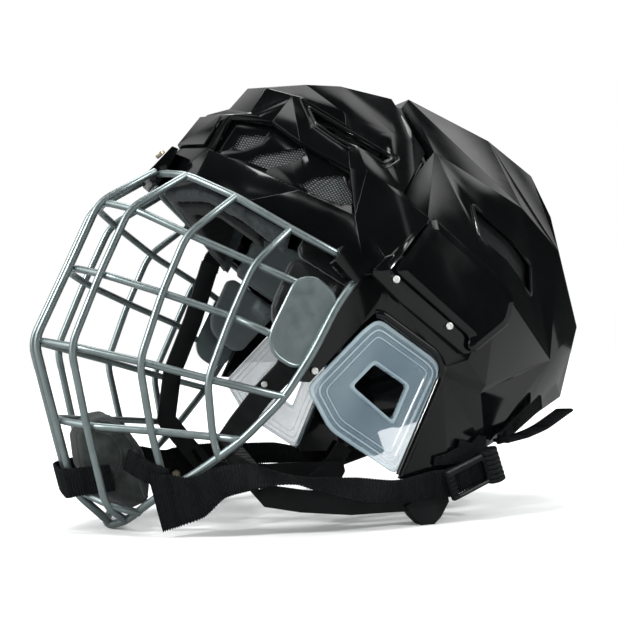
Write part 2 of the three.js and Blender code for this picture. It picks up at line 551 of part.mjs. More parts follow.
// Foam behind the shells. The brow strip hangs a little below the brow, with the forehead pad inside it.
const BROW_CORNERS = {
  low_mid: [0, -91.5, 194.5], low_brow: [36, -77, 190], low_eye: [55, -60, 176.5],
  low_temple: [69.5, -38.5, 154.5],
  high_mid: [0, -80.5, 217.5], high_brow: [27, -67.5, 214], high_eye: [46, -44, 198.5],
  high_temple: [63, -27.5, 185],
};
const BROW_FACETS = [['low_mid', 'low_brow', 'high_brow', 'high_mid'],
  ['low_brow', 'low_eye', 'high_eye', 'high_brow'],
  ['low_eye', 'low_temple', 'high_temple', 'high_eye']];
const browLiner = clearOf(wall(wholeFromHalf(BROW_CORNERS, BROW_FACETS), -1.5, 7), FIT, frontWall);
addPiece('brow_liner', browLiner, 'foam_grey');

const PAD_CORNERS = {
  low_mid: [0, -80.5, 187], low_brow: [30, -68, 181], low_side: [50, -46, 160],
  high_mid: [0, -68.5, 212], high_brow: [23, -57.5, 208], high_side: [38.5, -38.5, 191],
};
const PAD_FACETS = [['low_mid', 'low_brow', 'high_brow', 'high_mid'],
  ['low_brow', 'low_side', 'high_side', 'high_brow']];
const foreheadShape = wholeFromHalf(PAD_CORNERS, PAD_FACETS);
addPiece('forehead_pad', clearOf(wall(foreheadShape, -4, 7), FIT, browLiner), 'foam_black');

const CROWN_LINED = ['foot_mid', 'foot_side', 'top_mid', 'top_side', 'crown_front', 'spine_front'];
const CROWN_LINER_FACETS = FRONT_FACETS.filter((facet) => facet.every((name) => CROWN_LINED.includes(name)));
addPiece('crown_liner', wall(wholeFromHalf(FRONT_CORNERS, CROWN_LINER_FACETS), 4.8, 12), 'foam_grey');

// The rear foam starts behind the gutter between the shells.
const REAR_LINER_CORNERS = { ...REAR_CORNERS, pad_spine: [0, 75, 253.1], pad_crown: [34.2, 70, 247.7],
  pad_ridge: [66.4, 71, 206.3], pad_side: [90.2, 52.4, 157.8] };
const REAR_LINER_FACETS = [
  ['pad_spine', 'pad_crown', 'crown_mid', 'spine_mid'],
  ['spine_mid', 'crown_mid', 'crown_rear', 'spine_rear'],
  ['pad_crown', 'pad_ridge', 'ridge_mid', 'crown_mid'],
  ['crown_mid', 'ridge_mid', 'ridge_rear', 'crown_rear'],
  ['crown_rear', 'ridge_rear', 'crown_tail'], ['crown_rear', 'crown_tail', 'spine_tail', 'spine_rear'],
  ['crown_tail', 'ridge_rear', 'flank'], ['crown_tail', 'flank', 'rear_mid', 'spine_tail'],
  ['ridge_rear', 'step_corner', 'flank'], ['pad_ridge', 'pad_side', 'side_rear', 'ridge_mid'],
  ['ridge_mid', 'side_rear', 'step_corner', 'ridge_rear'], ['side_rear', 'step_quarter', 'step_corner'],
];
addPiece('rear_liner', wall(wholeFromHalf(REAR_LINER_CORNERS, REAR_LINER_FACETS), 4.6, 12), 'foam_black');

// The temple pads: a lower one in front of the ear and an upper one above it. Each has a seat on the shell.
const seated = (pad, seat, reach) => clearOf(join(pad, prism(seat, 66, reach)), FIT, frontWall, rearWall);
const LOWER_PAD_PLANE = { x: 77.5, y: -20, z: 140, back: -0.12, up: 0.06, thick: 8 };
const LOWER_PAD = [[-35, 152], [-50, 120], [-45, 109], [-28.5, 98], [2, 127.5]];
const LOWER_SEAT = [[-14, 135], [-18, 129], [-11, 121], [-3, 127]];
const lowerPad = sidePlate(LOWER_PAD, LOWER_PAD_PLANE, LOWER_PAD_PLANE.thick, 4);
addPair('lower_pad', seated(lowerPad, LOWER_SEAT, 84.7), 'foam_grey');
const UPPER_PAD_PLANE = { x: 68.5, y: -20, z: 160, back: 0, up: 0.3, thick: 7 };
const UPPER_PAD = [[-19, 178], [-25, 163], [-33, 153.5], [3, 129.5], [18, 142], [20, 166]];
const UPPER_SEAT = [[0, 150], [6, 147], [12, 158], [4, 163]];
const upperPad = sidePlate(UPPER_PAD, UPPER_PAD_PLANE, UPPER_PAD_PLANE.thick, 4);
addPair('upper_pad', seated(upperPad, UPPER_SEAT, 81), 'foam_grey');

// ------------------------------------------------------------------------------------ ear loops and straps

// The ear loop: a moulded band down in front of the ear, along under it and up to the hem, with the foot
// that it lies on.
const LOOP_BASE = [[81.5, -9, 14.5], [81.5, 18, 14], [81.5, 38, 13], [80.2, 50, 30]];
const LEFT_LOOP = [[82.4, -22, 126], [82, -33, 106], [76, -43.5, 88], [72, -55.5, 75.5], [68.8, -67.5, 60.5],
  [68, -75, 50.5], [74.5, -63.5, 33.5], [78, -54, 21.5], [80.5, -37, 18], ...LOOP_BASE];
const RIGHT_LOOP = [[63, -49.5, 160], [65.5, -62, 122], [65, -77, 87.5], [61.5, -82.5, 56.5], [64.5, -68, 38],
  [69.5, -54, 21.5], [76, -37, 18], ...LOOP_BASE];
const LOOP_FOOT = [[22, 11], [27, 4], [31, 0], [39, 0], [43.5, 4], [48.5, 12], [47, 20], [36, 20]];
const LOOP_WINDOW = [[-66, 34.5], [-63.5, 36], [-57, 26.5], [-59.5, 25]];
function earLoop(path) {
  const band = strap(path.map(point), new THREE.Vector3(1, 0, 0), 12, LOOP_THICK);
  return cut(join(band, prism(LOOP_FOOT, 76, 86)), prism(LOOP_WINDOW, 60, 90));
}
addPiece('ear_loop_left', earLoop(LEFT_LOOP), 'black_matte');
addPiece('ear_loop_right', mirrorGeometry(earLoop(RIGHT_LOOP)), 'black_matte');

// The chin cup: a bowl behind the lowest bars, open towards the chin.
const CUP_CENTRE = new THREE.Vector3(0, -112, 45);
const CUP_CORNERS = {
  top_0: [0, -132, 68], lip_0: [0, -143, 66.5], nose_0: [0, -151.5, 56], belly_0: [0, -149.5, 38],
  chin_0: [0, -139, 21],
  end_0: [0, -122, 10],
  top_1: [21, -129, 66], lip_1: [20, -139, 64], nose_1: [20, -147.5, 54.5], belly_1: [20, -145.5, 38],
  chin_1: [20, -135.5, 22], end_1: [20, -119, 11.5],
  top_2: [34, -121, 57], lip_2: [33, -128, 56], nose_2: [32, -134, 50], belly_2: [32, -132, 38],
  chin_2: [32, -125, 26.5],
  end_2: [33, -113, 16],
  side_top: [38.5, -115, 46], side_low: [38.5, -112, 27],
};
const CUP_FACETS = [
  ['top_0', 'top_1', 'lip_1', 'lip_0'], ['lip_0', 'lip_1', 'nose_1', 'nose_0'],
  ['nose_0', 'nose_1', 'belly_1', 'belly_0'],
  ['belly_0', 'belly_1', 'chin_1', 'chin_0'], ['chin_0', 'chin_1', 'end_1', 'end_0'],
  ['top_1', 'top_2', 'lip_2', 'lip_1'], ['lip_1', 'lip_2', 'nose_2', 'nose_1'],
  ['nose_1', 'nose_2', 'belly_2', 'belly_1'],
  ['belly_1', 'belly_2', 'chin_2', 'chin_1'], ['chin_1', 'chin_2', 'end_2', 'end_1'],
  ['top_2', 'side_top', 'lip_2'], ['lip_2', 'side_top', 'nose_2'],
  ['nose_2', 'side_top', 'side_low', 'belly_2'],
  ['belly_2', 'side_low', 'chin_2'], ['chin_2', 'side_low', 'end_2'],
];
const cupShape = wholeFromHalf(CUP_CORNERS, CUP_FACETS);
addPiece('chin_cup', wall(cupShape, 0, 4, CUP_CENTRE), 'suede');
const cupBlock = wall(cupShape, 0, 9, CUP_CENTRE);

// The band that holds the cup: round the front of the two middle bars, with an end on each side of the cup.
const BAND_PATH = [[33, -131.5, 32], [27, -146, 30.5], [22.5, -154.5, 29.3], [18.5, -156.6, 28.8],
  [0, -157, 28.8]];
const chinBand = strap(wholePath(BAND_PATH.slice().reverse().map(point)), new THREE.Vector3(0, -0.97, -0.23), 17);
addPiece('chin_band', clearOf(chinBand, FIT, cupBlock), 'webbing');

// Both straps end in the same way: in under the front bar of the ladder buckle and across its window.
const STRAP_REAR = [
  { at: [90.8, 37, 22.6], face: [1, 0.1, 0] }, { at: [90.2, 45, 22.7], face: [1, 0.15, 0] },
  { at: [89.2, 52, 24.2], face: [1, 0.2, 0] }, { at: [87.3, 62, 27], face: [1, 0.2, 0] },
  { at: [86, 69, 29.2], face: [1, 0.2, 0] },
];
const acrossMiddle = ({ at: [x, y, z], face: [fx, fy, fz] }) => ({ at: [-x, y, z], face: [-fx, fy, fz] });

// The left chin strap hangs slack and half turned over. Its web comes off the cup and is doubled side by side.
const LEFT_CUP_END = [
  { at: [37, -124, 41], face: [0.7, -0.7, 0], width: 14 }, { at: [44, -120.5, 37], face: [0.55, -0.8, 0] },
  { at: [50.5, -115.5, 29], face: [0.7, -0.65, -0.2], width: 14 }, { at: [58.5, -108.3, 20],
  face: [0.75, -0.6, -0.2], width: 12 },
];
const LEFT_STRAP = [
  { at: [56, -111.4, 19.3], face: [0.75, -0.6, -0.2], width: 31 },
  { at: [62, -104, 22.5], face: [0.8, -0.55, -0.1], width: 27 },
  { at: [71, -93, 22.8], face: [0.88, -0.45, 0], width: 21.5 },
  { at: [78, -81.9, 30.5], face: [0.92, -0.4, 0.1], width: 17.5 }, { at: [84, -68.7, 33.4],
  face: [0.9, -0.25, 0.35] },
  { at: [89, -54.6, 32.5], face: [0.35, -0.05, 0.94] }, { at: [91.5, -43.9, 31], face: [0.15, 0, 0.99] },
  { at: [91.5, -32, 27.7], face: [0.35, 0, 0.94] }, { at: [91.6, -8, 23], face: [0.8, 0, 0.6] },
  { at: [91.9, 14.4, 20.6], face: [1, 0, 0.15], width: 13 }, ...STRAP_REAR,
];
const webbing = (stations) => strap(stations.map(({ at }) => point(at)), stations.map(({ face }) => point(face)),
  stations.map(({ width = WEBBING }) => width));
addPiece('chin_strap_left', clearOf(join(webbing(LEFT_CUP_END), webbing(LEFT_STRAP)), FIT, cupBlock), 'webbing');

// The right one runs taut inside the cage, wide where its snap is, and out over the ear loop.
const RIGHT_STRAP = [
  { at: [-36, -122, 39], face: [-0.7, -0.7, 0], width: 14 }, { at: [-45, -110, 36],
  face: [-0.75, -0.65, 0], width: 14 },
  { at: [-52, -100, 34.5], face: [-0.8, -0.6, 0], width: 12 }, { at: [-59, -91, 29],
  face: [-0.8, -0.6, 0], width: 18 },
  { at: [-65, -84, 24.5], face: [-0.85, -0.53, 0], width: 24 }, { at: [-70, -76, 24],
  face: [-0.87, -0.5, 0], width: 26 },
  { at: [-76.5, -64, 27], face: [-0.9, -0.4, 0], width: 22 }, { at: [-82, -48, 28.5],
  face: [-0.95, -0.3, 0], width: 18 },
  { at: [-87.5, -30, 28], face: [-1, -0.1, 0] }, { at: [-91.6, 0, 27], face: [-1, 0, 0], width: 15 },
  { at: [-91.9, 20, 23.2], face: [-1, 0.05, 0], width: 14 }, ...STRAP_REAR.map(acrossMiddle),
];
addPiece('chin_strap_right', clearOf(webbing(RIGHT_STRAP), FIT, cupBlock), 'webbing');

// The ladder buckle: a frame with a window, and a ribbed barrel at its rear end.
const BUCKLE = { at: [92.7, 47.5, 22], along: [-0.17, 0.94, 0.3], up: [0, -0.1, 1], length: 32, height: 17.4,
  thick: 2.4, bar: 2.6, grip: 19.5, gripRadius: 5.4, ribs: 6 };
function ladderBuckle({ at, along, up, length, height, thick, bar, grip, gripRadius, ribs }) {
  const u = point(along).normalize();
  const v = point(up).normalize();
  const w = u.clone().cross(v).normalize();
  const rectangle = (from, to, half) => [[from, -half], [to, -half], [to, half], [from, half]]
    .map(([p, q]) => new THREE.Vector2(p, q));
  const shape = new THREE.Shape(rectangle(-bar, length, height / 2));
  shape.holes = [new THREE.Path(rectangle(0, length - gripRadius - 2, height / 2 - bar).reverse())];
  const frame = new THREE.ExtrudeGeometry(shape, { depth: thick, bevelEnabled: false });
  frame.translate(0, 0, -thick / 2);
  const notch = 0.8;
  const pitch = grip / ribs;
  const profile = [new THREE.Vector2(0, -grip / 2)];
  for (let i = 0; i < ribs; i += 1) {
    const low = -grip / 2 + i * pitch;
    profile.push(new THREE.Vector2(gripRadius - notch, low), new THREE.Vector2(gripRadius, low + notch),
      new THREE.Vector2(gripRadius, low + pitch - notch));
  }
  profile.push(new THREE.Vector2(gripRadius - notch, grip / 2), new THREE.Vector2(0, grip / 2));
  const barrel = new THREE.LatheGeometry(profile, 8).translate(length, 0, 0);
  const place = new THREE.Matrix4().makeBasis(u, v, w).setPosition(...at);
  return join(frame, barrel).applyMatrix4(place);
}
const buckle = ladderBuckle(BUCKLE);
addPair('ladder_buckle', buckle, 'black_gloss');

// The web that ties the buckle to the shell lies flat on the outside of the hem.
const ANCHOR_OUTLINE = [[37.8, 33], [38.4, 37.6], [46.3, 39.2], [54.4, 41.9], [56.1, 46.1], [65.3, 43.4],
  [71.4, 47.5],
  [76.5, 46.5], [77.5, 37], [62, 34], [50, 33]];
const anchor = keepWithin(wall(rearShape, -2, -FIT), prism(ANCHOR_OUTLINE, 60, 110));
addPair('strap_anchor', clearOf(anchor, FIT, buckle), 'webbing');

// The strap's loose ends, up and back from the barrel: one flat, one turned against the shell.
const TAIL_FLAT = [{ at: [84, 84, 43.6], face: [0, -0.2, 1] }, { at: [82.8, 98, 45.8], face: [0, -0.25, 1] },
  { at: [81.5, 111.5, 49.8], face: [0, -0.35, 1] }, { at: [79, 130.5, 59], face: [0, -0.5, 1] }];
const TAIL_TURNED = [{ at: [79.5, 85, 44.2], face: [0.84, 0.5, -0.2], width: 6 },
  { at: [74.5, 90.5, 45], face: [0.84, 0.5, -0.2], width: 8 }, { at: [67, 102.4, 49.4],
  face: [0.84, 0.5, -0.2], width: 8 },
  { at: [54.6, 129.8, 63.1], face: [0.84, 0.5, -0.2], width: 10 }];
addPair('strap_tail', clearOf(join(webbing(TAIL_FLAT), webbing(TAIL_TURNED)), FIT, rearWall), 'webbing');

// Rivets and snaps: [name, from, to, radius].
addPair('guard_rivet', stud(point([88.9, -30.5, 88]), point([90.6, -30.5, 88]), 2, 8), 'rivet');
addPiece('loop_rivet_left', stud(point([75.5, -55, 81.5]), point([76.9, -55, 81.5]), 1.8, 8), 'rivet');
addPiece('strap_snap', stud(point([-68.2, -76.3, 18.5]), point([-66.9, -75.5, 18.5]), 4, 10), 'brass');

// The pieces are placed from the shell's own datum, so the whole is moved to stand over the origin.
const middle = new THREE.Box3().setFromObject(helmet).getCenter(new THREE.Vector3());
for (const piece of helmet.children) piece.geometry.translate(0, -middle.y, 0);

export default helmet;
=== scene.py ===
"""An ice hockey helmet with a wire cage: surfaces, foam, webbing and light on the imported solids."""

import math

import bmesh
import bpy
from mathutils import Matrix, Vector
from mathutils.bvhtree import BVHTree


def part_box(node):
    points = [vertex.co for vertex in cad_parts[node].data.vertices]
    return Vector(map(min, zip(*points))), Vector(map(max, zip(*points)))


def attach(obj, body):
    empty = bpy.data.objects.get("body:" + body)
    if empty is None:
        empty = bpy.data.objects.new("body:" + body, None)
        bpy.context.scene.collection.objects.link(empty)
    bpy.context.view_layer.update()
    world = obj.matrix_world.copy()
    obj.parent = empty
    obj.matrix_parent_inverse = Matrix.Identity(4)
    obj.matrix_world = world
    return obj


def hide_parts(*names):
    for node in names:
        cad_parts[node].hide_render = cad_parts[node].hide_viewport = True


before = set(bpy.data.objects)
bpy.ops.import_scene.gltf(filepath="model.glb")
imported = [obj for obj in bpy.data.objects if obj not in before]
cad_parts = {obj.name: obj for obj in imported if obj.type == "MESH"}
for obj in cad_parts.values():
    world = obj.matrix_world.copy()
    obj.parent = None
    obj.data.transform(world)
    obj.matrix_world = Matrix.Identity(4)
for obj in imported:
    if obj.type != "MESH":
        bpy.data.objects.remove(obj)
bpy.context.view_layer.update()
SIDES = ((1, "left"), (-1, "right"))

# The tables below are in millimetres from the shell's own datum, whose rearmost point is at this y.
REAR_Y = 183
DATUM_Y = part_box("shell_rear")[1].y * 1000 - REAR_Y


def mm(x, y, z):
    """A point of the tables, in metres in the row frame."""
    return Vector((x, y + DATUM_Y, z)) / 1000


def mirrored(points):
    return [(-x, y, z) for x, y, z in points]


def side_to_side(half):
    """A path across the helmet from its left half, which may start in the middle."""
    return mirrored(reversed([p for p in half if p[0]])) + half


# ------------------------------------------------------------------------------------------- camera

LENS = 58.35
SENSOR = 36
DISTANCE = 632                      # from AIM, in mm as AIM is
AZIMUTH = math.radians(71)
ELEVATION = math.radians(-3)
TIPPED = 0.0319                     # the resting surface's tip from the camera's level, in radians
AIM = (0, -2, 125.6)


def make_camera():
    across = Vector((math.cos(AZIMUTH), math.sin(AZIMUTH), 0))
    back = Vector((math.sin(AZIMUTH) * math.cos(ELEVATION),
                   -math.cos(AZIMUTH) * math.cos(ELEVATION),
                   math.sin(ELEVATION)))
    tip = Matrix.Rotation(-TIPPED, 3, "X")
    back, across = tip @ back, tip @ across
    up = back.cross(across)
    data = bpy.data.cameras.new("camera")
    data.lens = LENS
    data.sensor_width = SENSOR
    camera = bpy.data.objects.new("camera", data)
    place = Matrix((across, up, back)).transposed().to_4x4()
    place.translation = mm(*AIM) + back * DISTANCE / 1000
    camera.matrix_world = place
    bpy.context.collection.objects.link(camera)
    bpy.context.scene.camera = camera


make_camera()

# ---------------------------------------------------------------------------------------- materials

NOISE_LOW, NOISE_HIGH = 0.3, 0.7    # nearly all of a noise's values lie between these


class Surface:
    """A node material being built: its principled shader, and short ways to add what drives it."""

    def __init__(self, name, **sockets):
        self.material = bpy.data.materials.new(name)
        self.material.use_nodes = True
        self.nodes = self.material.node_tree.nodes
        self.links = self.material.node_tree.links
        self.shader = self.nodes["Principled BSDF"]
        for socket, value in sockets.items():
            self.shader.inputs[socket.replace("_", " ")].default_value = value
        self.normal = None

    def add(self, kind, **inputs):
        """A new node with each named input set to a value or linked to another node's output."""
        node = self.nodes.new("ShaderNode" + kind)
        for name, value in inputs.items():
            socket = node.inputs[name]
            if isinstance(value, bpy.types.NodeSocket):
                self.links.new(value, socket)
            else:
                socket.default_value = value
        return node

    def place(self, stretch=(1, 1, 1)):
        """The object's own coordinates in metres, stretched along each axis."""
        coordinates = self.nodes.new("ShaderNodeTexCoord").outputs["Object"]
        return self.add("Mapping", Vector=coordinates, Scale=stretch).outputs[0]

    def noise(self, scale, detail=4):
        return self.add("TexNoise", Vector=self.place(), Scale=scale, Detail=detail).outputs[0]

    def between(self, value, low, high, start=NOISE_LOW, end=NOISE_HIGH):
        """The value with start made low and end made high."""
        spread = {"From Min": start, "From Max": end, "To Min": low, "To Max": high}
        return self.add("MapRange", Value=value, **spread).outputs[0]

    def combine(self, operation, first, second):
        node = self.add("Math")
        node.operation = operation
        self.links.new(first, node.inputs[0])
        self.links.new(second, node.inputs[1])
        return node.outputs[0]

    def drive(self, socket, value):
        self.links.new(value, self.shader.inputs[socket])

    def colour(self, value, dark, light):
        """Drives the base colour, and returns it."""
        ramp = self.add("ValToRGB", Fac=value)
        low, high = ramp.color_ramp.elements
        low.position, high.position = NOISE_LOW, NOISE_HIGH
        low.color, high.color = (*dark, 1), (*light, 1)
        self.drive("Base Color", ramp.outputs[0])
        return ramp.outputs[0]

    def bump(self, height, distance, strength=1.0):
        """Adds relief of `distance` metres on top of any that the surface has."""
        node = self.add("Bump", Height=height, Distance=distance, Strength=strength)
        if self.normal:
            self.links.new(self.normal, node.inputs["Normal"])
        self.normal = node.outputs[0]
        self.drive("Normal", self.normal)


def gloss_black():
    s = Surface("gloss_black", Coat_Weight=0.2, Coat_Roughness=0.03, Specular_IOR_Level=0.34)
    s.colour(s.noise(30), (0.0009, 0.0012, 0.0013), (0.0018, 0.0023, 0.0025))
    s.drive("Roughness", s.between(s.noise(55, 8), 0.07, 0.16))
    s.bump(s.noise(60, 3), 0.00004)
    return s.material


def satin_black():
    s = Surface("satin_black", Specular_IOR_Level=0.2)
    s.colour(s.noise(60), (0.003, 0.0037, 0.0040), (0.006, 0.0071, 0.0076))
    s.drive("Roughness", s.between(s.noise(140, 6), 0.3, 0.45))
    s.bump(s.noise(1800, 3), 0.00008)
    return s.material


def ribbed_black():
    s = Surface("ribbed_black", Specular_IOR_Level=0.2)
    s.colour(s.noise(80), (0.003, 0.0036, 0.0040), (0.006, 0.0070, 0.0075))
    s.drive("Roughness", s.between(s.noise(160, 6), 0.38, 0.6))
    ribs = s.add("TexWave", Vector=s.place((1, 0.35, 1)), Scale=210.0, Distortion=0.0)
    s.bump(ribs.outputs["Fac"], 0.0004, 0.7)
    return s.material


def web():
    s = Surface("web", Sheen_Weight=0.01, Sheen_Roughness=0.5, Specular_IOR_Level=0.06)
    s.colour(s.noise(1100, 3), (0.001, 0.0014, 0.0016), (0.006, 0.0072, 0.0079))
    s.drive("Roughness", s.between(s.noise(500), 0.42, 0.65))
    s.bump(s.noise(2600, 2), 0.0002, 0.5)
    return s.material


def satin_steel():
    s = Surface("satin_steel", Metallic=0.9)
    s.colour(s.noise(90, 3), (0.215, 0.262, 0.262), (0.275, 0.326, 0.326))
    s.drive("Roughness", s.between(s.noise(260, 4), 0.3, 0.4))
    s.bump(s.noise(1400, 2), 0.00002, 0.5)
    return s.material


def foam(name, dark, light):
    s = Surface(name, Sheen_Weight=0.05, Specular_IOR_Level=0.15)
    s.colour(s.noise(420, 6), dark, light)
    s.drive("Roughness", s.between(s.noise(300), 0.65, 0.85))
    s.bump(s.noise(1500, 5), 0.0003, 0.5)
    return s.material


def milky_guard(name, dark, light, thin, thick):
    """See-through plastic whose alpha wanders from thin to thick."""
    s = Surface(name, IOR=1.46, Coat_Weight=0.5, Coat_Roughness=0.12)
    s.colour(s.noise(22, 2), dark, light)
    s.drive("Roughness", s.between(s.noise(60, 3), 0.2, 0.34))
    s.drive("Alpha", s.between(s.noise(18, 2), thin, thick))
    s.bump(s.noise(30, 1), 0.00005)
    return s.material


def suede():
    s = Surface("suede", Sheen_Weight=0.12, Sheen_Roughness=0.5, Specular_IOR_Level=0.15)
    s.colour(s.noise(160, 8), (0.008, 0.0112, 0.0106), (0.022, 0.0275, 0.0262))
    s.drive("Roughness", s.between(s.noise(240), 0.8, 0.95))
    s.bump(s.noise(1900, 6), 0.0004, 0.6)
    return s.material


def dull_brass():
    s = Surface("dull_brass", Metallic=1.0)
    s.colour(s.noise(500, 6), (0.38, 0.34, 0.22), (0.62, 0.57, 0.42))
    s.drive("Roughness", s.between(s.noise(700), 0.25, 0.45))
    s.bump(s.noise(2400, 2), 0.0001, 0.5)
    return s.material


def pale_rivet():
    s = Surface("pale_rivet", Metallic=0.35, Coat_Weight=0.5)
    s.colour(s.noise(600, 4), (0.36, 0.38, 0.36), (0.58, 0.60, 0.57))
    s.drive("Roughness", s.between(s.noise(900), 0.2, 0.4))
    s.bump(s.noise(2400, 2), 0.0001, 0.4)
    return s.material


def woven_mesh():
    s = Surface("woven_mesh", Metallic=0.35, Specular_IOR_Level=0.4)

    def threads(lean):
        wave = s.add("TexWave", Vector=s.place((lean, 1, 1)), Scale=300.0, Distortion=0.3)
        wave.bands_direction = "DIAGONAL"
        return wave.outputs["Fac"]

    weave = s.combine("MULTIPLY", threads(1), threads(-1))
    s.colour(weave, (0.012, 0.014, 0.015), (0.20, 0.225, 0.225))
    s.drive("Roughness", s.between(s.noise(600), 0.35, 0.55))
    s.bump(weave, 0.0006, 0.8)
    return s.material


def two_tone_foam():
    """Foam with a grey face towards the head and a black one away from it."""
    s = Surface("two_tone_foam", Sheen_Weight=0.04, Specular_IOR_Level=0.25)
    outputs = s.nodes.new("ShaderNodeTexCoord").outputs
    facing, side = (s.add("SeparateXYZ", Vector=outputs[name]).outputs["X"]
                    for name in ("Normal", "Object"))
    outward = s.combine("MULTIPLY", facing, side)
    mottled = s.combine("ADD", outward, s.between(s.noise(420, 5), -0.004, 0.004))
    s.colour(s.between(mottled, 1.0, 0.0, 0.0, 0.03), (0.006, 0.007, 0.0075), (0.072, 0.086, 0.090))
    s.drive("Roughness", s.between(s.noise(300), 0.38, 0.55))
    s.bump(s.noise(1500, 5), 0.0002, 0.4)
    return s.material


GLOSS = gloss_black()
SATIN = satin_black()
RIBBED = ribbed_black()
WEB = web()
STEEL = satin_steel()
FOAM_SMOKE = foam("foam_smoke", (0.015, 0.019, 0.020), (0.030, 0.036, 0.038))
FOAM_BLACK = foam("foam_black", (0.0015, 0.002, 0.0023), (0.005, 0.006, 0.0065))
FOAM_PAD = two_tone_foam()
GUARD = milky_guard("milky_guard", (0.10, 0.155, 0.20), (0.22, 0.29, 0.33), 0.4, 0.52)
GUARD_BORDER = milky_guard("milky_guard_border", (0.22, 0.30, 0.35), (0.35, 0.43, 0.46), 0.55, 0.7)
SUEDE = suede()
BRASS = dull_brass()
RIVET = pale_rivet()
MESH = woven_mesh()

# ------------------------------------------------------------------------------------- mesh helpers


def finished(name, bm, material, slot, node=None, smooth_under=30):
    """Makes a bmesh a piece of the helmet that stands for `node`, smooth over its gentle edges."""
    bmesh.ops.recalc_face_normals(bm, faces=bm.faces)
    for face in bm.faces:
        face.smooth = True
    limit = math.radians(smooth_under)
    for edge in bm.edges:
        edge.smooth = len(edge.link_faces) == 2 and edge.calc_face_angle(0) < limit
    mesh = bpy.data.meshes.new(name)
    bm.to_mesh(mesh)
    bm.free()
    piece = bpy.data.objects.new(name, mesh)
    bpy.context.collection.objects.link(piece)
    mesh.materials.append(material)
    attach(piece, "root")
    if node:
        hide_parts(node)
    return piece


WELD = 2e-5                         # vertices closer than this are one, in metres
FLAT = 1.5                          # facets that turn by less than this many degrees are made one
SHARP = 7                           # edges that turn by more than this many degrees are rounded


def node_bmesh(node):
    """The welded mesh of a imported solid."""
    bm = bmesh.new()
    bm.from_mesh(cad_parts[node].data)
    bmesh.ops.remove_doubles(bm, verts=bm.verts, dist=WELD)
    return bm


def edged(node, material, slot, width):
    """A copy of a hard solid: flat facets made whole, sharp edges rounded over `width` mm."""
    bm = node_bmesh(node)
    bmesh.ops.dissolve_limit(bm, angle_limit=math.radians(FLAT), verts=bm.verts, edges=bm.edges)
    piece = finished(node + "_look", bm, material, slot, node, smooth_under=180)
    bevel = piece.modifiers.new("bevel", "BEVEL")
    bevel.width = width / 1000
    bevel.segments = 2
    bevel.limit_method = "ANGLE"
    bevel.angle_limit = math.radians(SHARP)
    bevel.harden_normals = True
    bevel.miter_outer = "MITER_ARC"
    settle(piece)


def soft(node, material, slot, voxel, rounds, fill):
    """A foam copy of a solid: remeshed to `voxel` mm, with its edges relaxed round."""
    piece = finished(node + "_look", node_bmesh(node), material, slot, node)
    remesh = piece.modifiers.new("remesh", "REMESH")
    remesh.mode = "VOXEL"
    remesh.voxel_size = voxel / 1000
    relax = piece.modifiers.new("relax", "SMOOTH")
    relax.iterations = rounds
    relax.factor = 0.5
    settle(piece)


def settle(piece):
    """Applies the piece's modifiers to its mesh and shades it smooth."""
    evaluated = piece.evaluated_get(bpy.context.evaluated_depsgraph_get())
    mesh = bpy.data.meshes.new_from_object(evaluated)
    piece.modifiers.clear()
    piece.data = mesh
    for polygon in mesh.polygons:
        polygon.use_smooth = True


SLOPE = 0.42                        # a knot's slope, as a share of the way between its neighbours
SLOPE_LIMIT = 1.6                   # how soon that slope is held in where a neighbour lies far off


def curve_point(a, b, c, d, t):
    """The point at t, from 0 to 1, of the curve from knot b to knot c, between knots a and d."""
    slope_b, slope_c = (c - a) * SLOPE, (d - b) * SLOPE
    near, far = (b - a).length, (d - c).length
    reach = (c - b).length
    slope_b *= min(1, SLOPE_LIMIT * reach / max(near + reach, 1e-9))
    slope_c *= min(1, SLOPE_LIMIT * reach / max(far + reach, 1e-9))
    t2, t3 = t * t, t * t * t
    at_b, at_c = (2 * t3 - 3 * t2 + 1) * b, (3 * t2 - 2 * t3) * c
    return at_b + (t3 - 2 * t2 + t) * slope_b + at_c + (t3 - t2) * slope_c


def on_curve(knots, i, t):
    """The point at t, from 0 to 1, of the way from knot i to the next one."""
    ends = [knots[0] * 2 - knots[1], *knots, knots[-1] * 2 - knots[-2]]
    return curve_point(*ends[i:i + 4], t)


def spline(points, step):
    """Points about `step` mm apart on a smooth curve, and how many knots along each one is."""
    knots = [Vector(p) for p in points]
    found = []
    for i in range(len(knots) - 1):
        count = max(2, round((knots[i + 1] - knots[i]).length / step))
        found += [(on_curve(knots, i, k / count), i + k / count) for k in range(count)]
    return [*found, (knots[-1], len(knots) - 1)]


CORNER_STEPS = 5
CORNER_SHARE = 0.45                 # of a side next to a corner, the most that the rounding takes


def rounded(before, here, after, reach):
    """Points round the corner `here`, from `reach` mm before it to `reach` mm after it."""
    start = here + (before - here) * min(reach / (before - here).length, CORNER_SHARE)
    end = here + (after - here) * min(reach / (after - here).length, CORNER_SHARE)
    return [start * (1 - t) ** 2 + here * 2 * t * (1 - t) + end * t ** 2
            for t in (k / CORNER_STEPS for k in range(CORNER_STEPS + 1))]


def square_to(vector, along):
    """The vector's part at right angles to `along`, made one long."""
    return (vector - along * vector.dot(along)).normalized()


def round_ring(middle, across, side, radius, sides):
    """A ring of points round a point of the frame, with its radius in mm."""
    return [middle + (across * math.cos(a) + side * math.sin(a)) * radius / 1000
            for a in (math.tau * k / sides for k in range(sides))]


def skin(bm, rings, closed_ends=True):
    """Joins rings of equal length into a tube, and returns its vertices ring by ring."""
    made = [[bm.verts.new(p) for p in ring] for ring in rings]
    for first, second in zip(made, made[1:]):
        for j in range(len(first)):
            k = (j + 1) % len(first)
            bm.faces.new((first[j], first[k], second[k], second[j]))
    if closed_ends:
        bm.faces.new(made[0])
        bm.faces.new(list(reversed(made[-1])))
    return made


